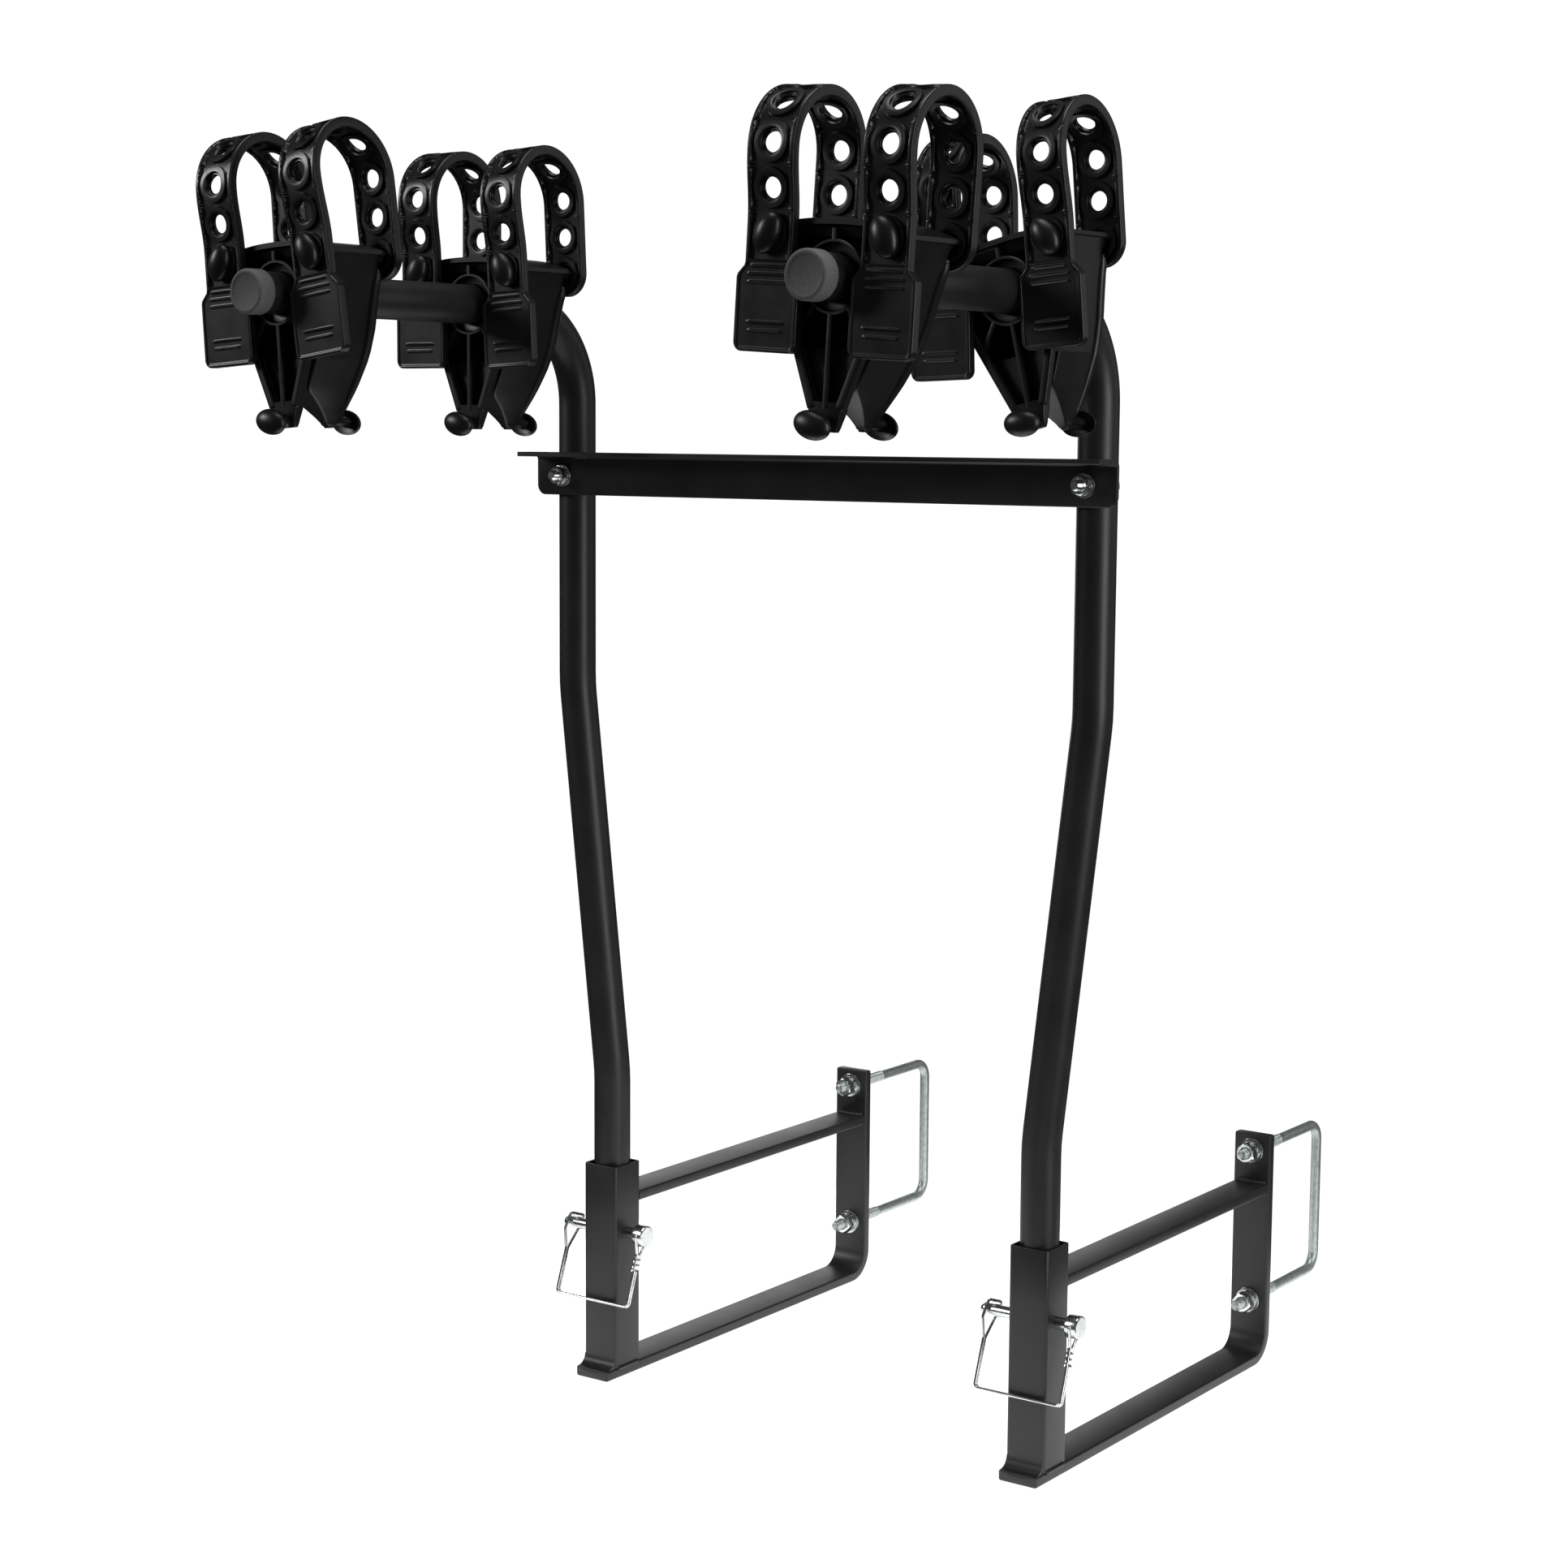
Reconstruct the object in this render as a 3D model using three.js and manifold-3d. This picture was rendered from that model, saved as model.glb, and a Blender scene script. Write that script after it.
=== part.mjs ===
// Two-bike rack for a square travel-trailer bumper: two bent masts with a cradle pair on each arm,
// a bolted angle crossbar, and two welded brackets with U-bolts and wire lock pins. Millimetres, +Z up.
// Model frame while building: x = 0 midway between the masts, y = 0 on the mast axes with the arms
// towards -Y and the bumper towards +Y, z = 0 under the lower bars. The group is moved at the end.
import * as THREE from 'three';
import { mergeVertices } from 'three/addons/utils/BufferGeometryUtils.js';
import Module from 'manifold-3d';

const wasm = await Module();
wasm.setup();

// ---- driving dimensions ----
const GAP = 0.3; // clearance between pieces that touch on the real rack
const BIG = 200; // long enough to cut through any piece

const TUBE_R = 14.3; // 1 1/8 in mast tube
const TUBE_WALL = 1.6;
const TOP_SPACING = 464; // between the mast axes at the arms
const FOOT_SPACING = 394; // between the mast axes at the sockets
const LOWER_BEND_Z = 246;
const UPPER_BEND_Z = 552;
const SMALL_BEND_R = 160;
const ARM_BEND_R = 72;
const ARM_Z = 842;
const ARM_END_Y = -350;
const MAST_FOOT_Z = 14;

const BAR_WIDTH = 32; // width of socket, bars and plate
const BAR_T = 8;
const SOCKET_WALL = 1.5;
const SOCKET_TOP_Z = 172;
const FOOT_Y = -26; // front end of the lower bar
const PLATE_Y = 338; // front face of the bumper plate
const PLATE_TOP_Z = 187;
const PLATE_BEND_R = 25; // outside radius of the bar's bend
const BRACE_TOP_Z = 147;

const U_ROD_R = 4.5; // 3/8 in U-bolt
const U_LOW_Z = 48.5;
const U_HIGH_Z = 173;
const U_REACH = 113; // plate's back face to the rod's axis
const U_CORNER_R = 14;
const U_END_HIGH_Y = 319;
const U_END_LOW_Y = 315;
const WASHER_R = 10.3;
const WASHER_T = 1.8;
const SPRING_WASHER_R = 8;
const SPRING_WASHER_T = 2.4;
const NUT_FLATS = 14.6;
const NUT_T = 8;
const BOLT_CLEAR_R = 5.2;

const PIN_R = 4.75; // 3/8 in wire lock pin
const PIN_Z = 116;
const PIN_HEAD_R = 8.6;
const PIN_HEAD_X = 25.5; // inner face of the head
const PIN_HEAD_T = 10;
const PIN_TIP_X = -47;
const PIN_HOLE_R = 5.3;
const WIRE_R = 1.15;
const BAIL_DROP = 57; // pin axis to the bail's bottom run
const BAIL_LOOP_X = -41;

const CROSS_HALF = 257;
const CROSS_LOW_Z = 700;
const CROSS_TOP_Z = 733;
const CROSS_T = 3.5;
const CROSS_FLANGE = 28;
const CROSS_BOLT_Z = 715;
const CROSS_BOLT_R = 3.9;
const CROSS_HOLE_R = 4.4;

const CAP_R = 15.5;
const CAP_LENGTH = 14;

// turn: the cradle about its arm; leans: its left and right strap about their own knobs, in degrees
const CRADLES = [
  { side: 'left', place: 'outer', y: -325, turn: -4, leans: [0, -4] },
  { side: 'left', place: 'inner', y: -127, turn: 0, leans: [0, -3] },
  { side: 'right', place: 'outer', y: -325, turn: 3.5, leans: [0, 0] },
  { side: 'right', place: 'inner', y: -127, turn: -14, leans: [12, 9] },
];
const SADDLE_Z = 31; // top of the saddle above the arm's axis
const SADDLE_HALF = 54;
const CRADLE_BACK = 59.9;
const SHELL_WALL = 3;
const BOSS_R = 22.4;
const BORE_R = 20;
const BOSS_END = 56;
const BUSH_START = 5; // the bush's lip stands this far behind the ring's face
const BUSH_END = 51;
const LIP_DEPTH = 8; // counterbore for the bush's lip
const RIB_T = 4;
const KNOB_X = 42;
const KNOB_Z = 24;
const STRAP_WIDTH = 34;
const STRAP_T = 7;
const TAB_WIDTH = 46;
const STRAP_HOLE_R = 6.4;
const STRAP_HOLES = 9;

// ---- helpers ----
const ROUND = 16; // sides of a round piece
const RING_SIDES = 20; // sides of the cradle's ring and bush, which turn in each other

function solid(geometry) {
  const bare = geometry.clone();
  bare.deleteAttribute('normal');
  bare.deleteAttribute('uv');
  const merged = mergeVertices(bare, 1e-4);
  return new wasm.Manifold(new wasm.Mesh({
    numProp: 3,
    vertProperties: new Float32Array(merged.attributes.position.array),
    triVerts: new Uint32Array(merged.index.array),
  }));
}

function geometryOf(body) {
  const mesh = body.getMesh();
  const geometry = new THREE.BufferGeometry();
  geometry.setAttribute('position', new THREE.BufferAttribute(new Float32Array(mesh.vertProperties), 3));
  geometry.setIndex(new THREE.BufferAttribute(new Uint32Array(mesh.triVerts), 1));
  return geometry;
}

const join = (...bodies) => bodies.reduce((sum, body) => sum.add(body));
const cut = (base, ...tools) => tools.reduce((rest, tool) => rest.subtract(tool), base);
const common = (...bodies) => bodies.reduce((rest, body) => rest.intersect(body));

function outline(points) {
  return new THREE.Shape(points.map(([u, v]) => new THREE.Vector2(u, v)));
}

// An outline drawn in (y, z), carried along X from x0 to x1.
function alongX(shape, x0, x1, curveSegments = 5) {
  const geometry = new THREE.ExtrudeGeometry(shape, { depth: x1 - x0, bevelEnabled: false, curveSegments });
  geometry.applyMatrix4(new THREE.Matrix4().set(0, 0, 1, x0, 1, 0, 0, 0, 0, 1, 0, 0, 0, 0, 0, 1));
  return solid(geometry);
}

// An outline drawn in (x, z), carried along Y from y0 to y1.
function alongY(shape, y0, y1, curveSegments = 5) {
  const geometry = new THREE.ExtrudeGeometry(shape, { depth: y1 - y0, bevelEnabled: false, curveSegments });
  geometry.applyMatrix4(new THREE.Matrix4().set(1, 0, 0, 0, 0, 0, -1, y1, 0, 1, 0, 0, 0, 0, 0, 1));
  return solid(geometry);
}

// An outline drawn in (x, y), carried along Z from z0 to z1.
function alongZ(shape, z0, z1, curveSegments = 5) {
  const geometry = new THREE.ExtrudeGeometry(shape, { depth: z1 - z0, bevelEnabled: false, curveSegments });
  geometry.translate(0, 0, z0);
  return solid(geometry);
}

function box(x0, x1, y0, y1, z0, z1) {
  const geometry = new THREE.BoxGeometry(x1 - x0, y1 - y0, z1 - z0);
  geometry.translate((x0 + x1) / 2, (y0 + y1) / 2, (z0 + z1) / 2);
  return solid(geometry);
}

// A round bar from one point to another.
function rod(from, to, radius, sides = ROUND) {
  const start = new THREE.Vector3(...from);
  const end = new THREE.Vector3(...to);
  const geometry = new THREE.CylinderGeometry(radius, radius, start.distanceTo(end), sides);
  const turn = new THREE.Quaternion().setFromUnitVectors(
    new THREE.Vector3(0, 1, 0), end.clone().sub(start).normalize());
  geometry.applyQuaternion(turn);
  geometry.translate((start.x + end.x) / 2, (start.y + end.y) / 2, (start.z + end.z) / 2);
  return solid(geometry);
}

// A profile of [radius, y] points turned about the Y axis.
function turned(points, sides = ROUND) {
  const closed = [...points, points[0]];
  return solid(new THREE.LatheGeometry(closed.map(([r, y]) => new THREE.Vector2(r, y)), sides));
}

// An egg-shaped head, given by its half axes.
function egg(centre, halfX, halfY, halfZ) {
  const geometry = new THREE.SphereGeometry(1, 8, 4);
  geometry.scale(halfX, halfZ, halfY);
  geometry.rotateX(Math.PI / 2);
  geometry.translate(...centre);
  return solid(geometry);
}

// A path that stands on its own stations, close together in the bends and far apart on the straights.
class Route extends THREE.Curve {
  constructor(stations) {
    super();
    this.stations = stations;
  }

  getSpacedPoints() {
    return this.stations;
  }

  getTangentAt(u, target = new THREE.Vector3()) {
    const last = this.stations.length - 1;
    const i = Math.round(u * last);
    const before = this.stations[Math.max(i - 1, 0)];
    const after = this.stations[Math.min(i + 1, last)];
    const here = this.stations[i];
    const incoming = here.clone().sub(before).normalize();
    const outgoing = after.clone().sub(here).normalize();
    return target.addVectors(incoming, outgoing).normalize();
  }
}

// Rounds each inner corner of a polyline with an arc of the corner's radius.
function roundedRoute(corners, steps) {
  const stations = [corners[0].at.clone()];
  for (let i = 1; i < corners.length - 1; i += 1) {
    const { at, radius } = corners[i];
    const back = corners[i - 1].at.clone().sub(at).normalize();
    const ahead = corners[i + 1].at.clone().sub(at).normalize();
    const half = back.angleTo(ahead) / 2;
    const middle = back.clone().add(ahead).normalize();
    const centre = at.clone().addScaledVector(middle, radius / Math.sin(half));
    const start = at.clone().addScaledVector(back, radius / Math.tan(half)).sub(centre);
    const end = at.clone().addScaledVector(ahead, radius / Math.tan(half)).sub(centre);
    const sweep = start.angleTo(end);
    const count = Math.max(2, Math.round(steps * sweep / (Math.PI / 2)));
    const axis = start.clone().cross(end).normalize();
    for (let k = 0; k <= count; k += 1) {
      stations.push(start.clone().applyAxisAngle(axis, sweep * k / count).add(centre));
    }
  }
  stations.push(corners[corners.length - 1].at.clone());
  return new Route(stations);
}

function swept(section, route) {
  return solid(new THREE.ExtrudeGeometry(section, {
    steps: route.stations.length - 1, extrudePath: route, bevelEnabled: false, curveSegments: 1,
  }));
}

function ringSection(radius, sides, hole = 0, holeSides = 10) {
  const circle = (r, count) => Array.from({ length: count }, (_, i) => {
    const angle = 2 * Math.PI * i / count;
    return new THREE.Vector2(r * Math.cos(angle), r * Math.sin(angle));
  });
  const shape = new THREE.Shape(circle(radius, sides));
  if (hole > 0) shape.holes.push(new THREE.Path(circle(hole, holeSides).reverse()));
  return shape;
}

const COLOURS = {
  powder_coat: { color: 0x2c2c2d, roughness: 0.5, metalness: 0.4 },
  zinc: { color: 0xb4b8b8, roughness: 0.35, metalness: 0.9 },
  bright_zinc: { color: 0xd2d4d4, roughness: 0.2, metalness: 1.0 },
  moulded: { color: 0x1b1b1c, roughness: 0.4, metalness: 0.0 },
  rubber: { color: 0x202021, roughness: 0.55, metalness: 0.0 },
  cap: { color: 0x4b4b4c, roughness: 0.8, metalness: 0.0 },
};

function piece(name, body, finish) {
  const mesh = new THREE.Mesh(geometryOf(body), new THREE.MeshStandardMaterial(COLOURS[finish]));
  mesh.name = name;
  return mesh;
}

const rack = new THREE.Group();

// ---- masts: straight foot, slant outwards, straight top, quarter bend into the arm ----
function mastTube(sign) {
  const foot = sign * FOOT_SPACING / 2;
  const top = sign * TOP_SPACING / 2;
  const route = roundedRoute([
    { at: new THREE.Vector3(foot, 0, MAST_FOOT_Z) },
    { at: new THREE.Vector3(foot, 0, LOWER_BEND_Z), radius: SMALL_BEND_R },
    { at: new THREE.Vector3(top, 0, UPPER_BEND_Z), radius: SMALL_BEND_R },
    { at: new THREE.Vector3(top, 0, ARM_Z), radius: ARM_BEND_R },
    { at: new THREE.Vector3(top, ARM_END_Y, ARM_Z) },
  ], 9);
  const tube = swept(ringSection(TUBE_R, ROUND, TUBE_R - TUBE_WALL), route);
  const pinHole = rod([foot - BAR_WIDTH, 0, PIN_Z], [foot + BAR_WIDTH, 0, PIN_Z], PIN_HOLE_R, 12);
  const boltHole = rod([top, -BAR_WIDTH, CROSS_BOLT_Z], [top, BAR_WIDTH, CROSS_BOLT_Z], CROSS_HOLE_R, 12);
  return cut(tube, pinHole, boltHole);
}

function endCap(x) {
  const face = ARM_END_Y - SHELL_WALL;
  const inner = TUBE_R + GAP;
  const rim = face + CAP_LENGTH;
  const body = turned([
    [0, face], [CAP_R - 1.2, face], [CAP_R, face + 1.2], [CAP_R, rim], [inner, rim],
    [inner, ARM_END_Y - GAP], [0, ARM_END_Y - GAP],
  ]);
  return body.translate([x, 0, ARM_Z]);
}

// ---- brackets: socket, bent lower bar and plate, brace, U-bolt with its nuts and washers ----
function socketTube(x) {
  const half = BAR_WIDTH / 2;
  const hole = half - SOCKET_WALL;
  const ring = cut(
    box(x - half, x + half, -half, half, BAR_T + GAP, SOCKET_TOP_Z),
    box(x - hole, x + hole, -hole, hole, 0, SOCKET_TOP_Z + BAR_T),
  );
  return cut(ring, rod([x - BIG, 0, PIN_Z], [x + BIG, 0, PIN_Z], PIN_HOLE_R, 12));
}

function bumperBar(x) {
  const half = BAR_WIDTH / 2;
  const back = PLATE_Y + BAR_T;
  const shape = new THREE.Shape();
  shape.moveTo(FOOT_Y, 0);
  shape.lineTo(back - PLATE_BEND_R, 0);
  shape.absarc(back - PLATE_BEND_R, PLATE_BEND_R, PLATE_BEND_R, -Math.PI / 2, 0, false);
  shape.lineTo(back, PLATE_TOP_Z);
  shape.lineTo(PLATE_Y, PLATE_TOP_Z);
  shape.lineTo(PLATE_Y, PLATE_BEND_R);
  shape.absarc(back - PLATE_BEND_R, PLATE_BEND_R, PLATE_BEND_R - BAR_T, 0, -Math.PI / 2, true);
  shape.lineTo(FOOT_Y, BAR_T);
  const bar = alongX(shape, x - half, x + half);
  const hole = (z) => rod([x, PLATE_Y - BAR_T, z], [x, back + BAR_T, z], BOLT_CLEAR_R, 12);
  return cut(bar, hole(U_LOW_Z), hole(U_HIGH_Z));
}

function braceBar(x) {
  const half = BAR_WIDTH / 2;
  return box(x - half, x + half, half + GAP, PLATE_Y - GAP, BRACE_TOP_Z - BAR_T, BRACE_TOP_Z);
}

function uBolt(x) {
  const far = PLATE_Y + BAR_T + U_REACH;
  const route = roundedRoute([
    { at: new THREE.Vector3(x, U_END_HIGH_Y, U_HIGH_Z) },
    { at: new THREE.Vector3(x, far, U_HIGH_Z), radius: U_CORNER_R },
    { at: new THREE.Vector3(x, far, U_LOW_Z), radius: U_CORNER_R },
    { at: new THREE.Vector3(x, U_END_LOW_Y, U_LOW_Z) },
  ], 4);
  return swept(ringSection(U_ROD_R, 10), route);
}

// A disc with a hole, its axis along Y, from y to y + thickness.
function washer(x, y, z, radius, hole, thickness) {
  const disc = rod([x, y, z], [x, y + thickness, z], radius, ROUND);
  return cut(disc, rod([x, y - 1, z], [x, y + thickness + 1, z], hole, 12));
}

// The split washer has a slot across one side.
function springWasher(x, y, z, radius, hole, thickness) {
  const ring = washer(x, y, z, radius, hole, thickness);
  return cut(ring, box(x - 1, x + 1, y - 1, y + thickness + 1, z, z + radius + 1));
}

function nut(x, y, z, flats, hole, thickness) {
  const corner = flats / Math.sqrt(3);
  const body = rod([x, y, z], [x, y + thickness, z], corner, 6);
  return cut(body, rod([x, y - 1, z], [x, y + thickness + 1, z], hole, 12));
}

function clampFasteners(side, x) {
  const hole = U_ROD_R + 0.45;
  const levels = [['lower', U_LOW_Z], ['upper', U_HIGH_Z]];
  for (const [level, z] of levels) {
    const washerY = PLATE_Y - GAP - WASHER_T;
    const springY = washerY - GAP - SPRING_WASHER_T;
    const nutY = springY - GAP - NUT_T;
    rack.add(piece(`${side}_${level}_flat_washer`, washer(x, washerY, z, WASHER_R, hole, WASHER_T), 'bright_zinc'));
    rack.add(piece(`${side}_${level}_spring_washer`,
      springWasher(x, springY, z, SPRING_WASHER_R, hole, SPRING_WASHER_T), 'bright_zinc'));
    rack.add(piece(`${side}_${level}_clamp_nut`, nut(x, nutY, z, NUT_FLATS, hole, NUT_T), 'bright_zinc'));
  }
}

// ---- wire lock pin: headed pin, two-strand bail that snaps over the tip, crimped ferrule ----
const BAIL_HALF = 2.35; // half the width of the two strands side by side
const bailTilt = Math.asin((BAR_WIDTH / 2 + BAIL_HALF + 2 * GAP) / BAIL_DROP);
const bailX = PIN_HEAD_X + PIN_HEAD_T / 2;
const FERRULE_TOP = 15.5; // pin axis to the sleeve
const FERRULE_LENGTH = 13;
const BAIL_SECTION = [[-BAIL_HALF, -0.5], [-1.8, -WIRE_R], [1.8, -WIRE_R], [BAIL_HALF, -0.5],
  [BAIL_HALF, 0.5], [1.8, WIRE_R], [-1.8, WIRE_R], [-BAIL_HALF, 0.5]];

function lockPin() {
  const shank = rod([PIN_TIP_X, 0, 0], [PIN_HEAD_X + 1, 0, 0], PIN_R, 16);
  const head = rod([PIN_HEAD_X, 0, 0], [PIN_HEAD_X + PIN_HEAD_T, 0, 0], PIN_HEAD_R, ROUND);
  const crossHole = box(bailX - WIRE_R - GAP, bailX + WIRE_R + GAP, -2.7, 2.7, -BIG, -2);
  return cut(join(shank, head), crossHole);
}

function pinBail() {
  const route = roundedRoute([
    { at: new THREE.Vector3(bailX, 0, -3) },
    { at: new THREE.Vector3(bailX, 0, -BAIL_DROP), radius: 3 },
    { at: new THREE.Vector3(BAIL_LOOP_X, 0, -BAIL_DROP), radius: 3 },
    { at: new THREE.Vector3(BAIL_LOOP_X, 0, -PIN_R - WIRE_R) },
  ], 3);
  const strands = swept(outline(BAIL_SECTION), route);
  const loop = rod([BAIL_LOOP_X - WIRE_R, 0, 0], [BAIL_LOOP_X + WIRE_R, 0, 0], PIN_R + 0.5 + 2 * WIRE_R, 16);
  const eye = rod([BAIL_LOOP_X - BIG, 0, 0], [BAIL_LOOP_X + BIG, 0, 0], PIN_R + 0.5, 16);
  return cut(join(strands, loop), eye);
}

function bailFerrule() {
  const low = -FERRULE_TOP - FERRULE_LENGTH;
  const sleeve = box(bailX - 2.4, bailX + 2.4, -3.6, 3.6, low, -FERRULE_TOP);
  return cut(sleeve, box(bailX - WIRE_R - GAP, bailX + WIRE_R + GAP, -2.65, 2.65, low - 1, 0));
}

function lockPinSet(side, x) {
  const set = new THREE.Group();
  set.position.set(x, 0, PIN_Z);
  set.rotation.x = -bailTilt;
  set.add(piece(`${side}_lock_pin`, lockPin(), 'bright_zinc'));
  set.add(piece(`${side}_pin_bail`, pinBail(), 'bright_zinc'));
  set.add(piece(`${side}_bail_ferrule`, bailFerrule(), 'zinc'));
  rack.add(set);
}

// ---- crossbar: one angle bolted to the front of both masts ----
const legFront = -TUBE_R - GAP - CROSS_T;

function crossbar() {
  const flangeFront = -TUBE_R - GAP - CROSS_FLANGE;
  const section = outline([
    [legFront, CROSS_LOW_Z], [legFront + CROSS_T, CROSS_LOW_Z], [legFront + CROSS_T, CROSS_TOP_Z],
    [flangeFront, CROSS_TOP_Z], [flangeFront, CROSS_TOP_Z - CROSS_T], [legFront, CROSS_TOP_Z - CROSS_T],
  ]);
  const bar = alongX(section, -CROSS_HALF, CROSS_HALF);
  const corner = 7;
  const front = new THREE.Shape();
  front.moveTo(-CROSS_HALF + corner, CROSS_LOW_Z);
  front.lineTo(CROSS_HALF - corner, CROSS_LOW_Z);
  front.absarc(CROSS_HALF - corner, CROSS_LOW_Z + corner, corner, -Math.PI / 2, 0, false);
  front.lineTo(CROSS_HALF, CROSS_TOP_Z);
  front.lineTo(-CROSS_HALF, CROSS_TOP_Z);
  front.absarc(-CROSS_HALF + corner, CROSS_LOW_Z + corner, corner, Math.PI, 3 * Math.PI / 2, false);
  const trimmed = common(bar, alongY(front, -BIG, BIG, 4));
  const hole = (x) => rod([x, -BIG, CROSS_BOLT_Z], [x, BIG, CROSS_BOLT_Z], CROSS_HOLE_R, 12);
  return cut(trimmed, hole(-TOP_SPACING / 2), hole(TOP_SPACING / 2));
}

function crossFasteners(side, x) {
  const z = CROSS_BOLT_Z;
  const hole = CROSS_BOLT_R + 0.45;
  const washerY = legFront - GAP - 1.6;
  const nutY = washerY - GAP - 6.5;
  const headY = TUBE_R + GAP;
  const shank = rod([x, nutY - 5.5, z], [x, headY + 1, z], CROSS_BOLT_R, 12);
  const head = rod([x, headY, z], [x, headY + 5.3, z], 13 / Math.sqrt(3), 6);
  rack.add(piece(`${side}_crossbar_bolt`, join(shank, head), 'bright_zinc'));
  rack.add(piece(`${side}_crossbar_washer`, washer(x, washerY, z, 8.8, hole, 1.6), 'bright_zinc'));
  rack.add(piece(`${side}_crossbar_nut`, nut(x, nutY, z, 12.7, hole, 6.5), 'bright_zinc'));
}

// ---- cradle: its own frame has y = 0 at the ring's front face and z = 0 on the arm's axis ----
const FRONT_Y = 0.5;
const FRONT_OUTLINE = [[SADDLE_HALF, SADDLE_Z], [13, -78], [9.5, -92]];
const SIDE_OUTLINE = [[FRONT_Y, SADDLE_Z], [FRONT_Y, -84], [3, -91], [8, -91], [10, -80], [13, -68],
  [17.5, -62], [22, -67], [27, -80], [31, -92], [50, -92], [55, -84], [61, -62], [64, -30],
  [CRADLE_BACK, 4], [CRADLE_BACK, SADDLE_Z]];
const SIDE_HOLLOW = [[-1, 27.5], [-1, -77], [5.5, -77], [8, -66], [13, -58.5], [21, -58.5],
  [26, -66], [32, -82], [48, -82], [57.5, -61], [60.5, -30], [CRADLE_BACK - SHELL_WALL, 4],
  [CRADLE_BACK - SHELL_WALL, 27.5]];

const mirrored = (half) => [...half, ...half.slice().reverse().map(([x, z]) => [-x, z])];

function cradleBody() {
  const front = alongY(outline(mirrored(FRONT_OUTLINE)), -10, 80);
  const side = alongX(outline(SIDE_OUTLINE), -60, 60);
  const plan = new THREE.Shape();
  const corner = 12;
  plan.moveTo(-SADDLE_HALF, -10);
  plan.lineTo(SADDLE_HALF, -10);
  plan.lineTo(SADDLE_HALF, CRADLE_BACK - corner);
  plan.absarc(SADDLE_HALF - corner, CRADLE_BACK - corner, corner, 0, Math.PI / 2, false);
  plan.lineTo(SADDLE_HALF - corner, 80);
  plan.lineTo(corner - SADDLE_HALF, 80);
  plan.lineTo(corner - SADDLE_HALF, CRADLE_BACK);
  plan.absarc(corner - SADDLE_HALF, CRADLE_BACK - corner, corner, Math.PI / 2, Math.PI, false);
  const outer = common(front, side, alongZ(plan, -100, 40, 3));
  const innerFront = FRONT_OUTLINE.map(([x, z]) => [x - SHELL_WALL, z]);
  const hollow = common(
    alongY(outline(mirrored(innerFront)), -10, 80),
    alongX(outline(SIDE_HOLLOW), -60, 60),
  );
  const shell = cut(outer, hollow);
  const half = RIB_T / 2;
  const tie = (angle, length) => {
    const rib = box(-half, half, FRONT_Y, BOSS_END, -length, -BORE_R - 1);
    return rib.rotate([0, angle, 0]);
  };
  const webs = join(tie(0, 90), tie(36, 60), tie(-36, 60), tie(180, 30));
  const gusset = (sign) => box(Math.min(sign * 28, sign * 56), Math.max(sign * 28, sign * 56), FRONT_Y, 4, 11, 30);
  const inside = common(join(webs, gusset(1), gusset(-1)), outer);
  const boss = rod([0, 0, 0], [0, BOSS_END, 0], BOSS_R, RING_SIDES);
  const bore = rod([0, -1, 0], [0, 80, 0], BORE_R, RING_SIDES);
  const counterbore = rod([0, -1, 0], [0, LIP_DEPTH, 0], BORE_R + 0.9, RING_SIDES);
  const frame = cut(join(shell, inside, boss), bore, counterbore);
  const knobs = [];
  for (const x of [-KNOB_X, KNOB_X]) {
    knobs.push(rod([x, -12, KNOB_Z], [x, 2, KNOB_Z], 4.8, 8));
    knobs.push(egg([x, -12.3, KNOB_Z], 9, 4.7, 13));
    knobs.push(rod([x, CRADLE_BACK - 2, KNOB_Z], [x, CRADLE_BACK + 12, KNOB_Z], 4.8, 8));
    knobs.push(egg([x, CRADLE_BACK + 12.3, KNOB_Z], 9, 4.7, 13));
  }
  knobs.push(rod([0, -12, -87], [0, 4, -87], 5, 8), egg([0, -13, -88], 13, 5, 9.5));
  knobs.push(rod([0, 48, -87], [0, 64, -87], 5, 8), egg([0, 65, -88], 13, 5, 9.5));
  return join(frame, ...knobs);
}

function cradleBush() {
  const inner = TUBE_R + 0.45;
  const lipEnd = LIP_DEPTH - GAP;
  return turned([
    [inner, BUSH_START], [BORE_R + 0.5, BUSH_START], [BORE_R + 0.5, lipEnd],
    [BORE_R - 0.5, lipEnd], [BORE_R - 0.5, BUSH_END], [inner, BUSH_END],
  ], RING_SIDES);
}

// The strap's middle line in (y, z): up from the pull tab, round the arch and down to the far knob.
const strapMidY = 28;
const STRAP_ARCH_R = 36;
const STRAP_ARCH_Z = 75;
const TAB_LOW_Z = -46;
const STRAP_END_Z = 7;
const strapFrontY = -GAP - STRAP_T / 2;
const strapBackY = CRADLE_BACK + GAP + STRAP_T / 2;

function strapLine() {
  const line = new THREE.Path();
  const left = strapMidY - STRAP_ARCH_R;
  const right = strapMidY + STRAP_ARCH_R;
  line.moveTo(strapFrontY, KNOB_Z + 6);
  line.bezierCurveTo(strapFrontY, 46, left, 56, left, STRAP_ARCH_Z);
  line.absarc(strapMidY, STRAP_ARCH_Z, STRAP_ARCH_R, Math.PI, 0, true);
  line.bezierCurveTo(right, 56, strapBackY, 46, strapBackY, KNOB_Z + 6);
  return line;
}

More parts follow.
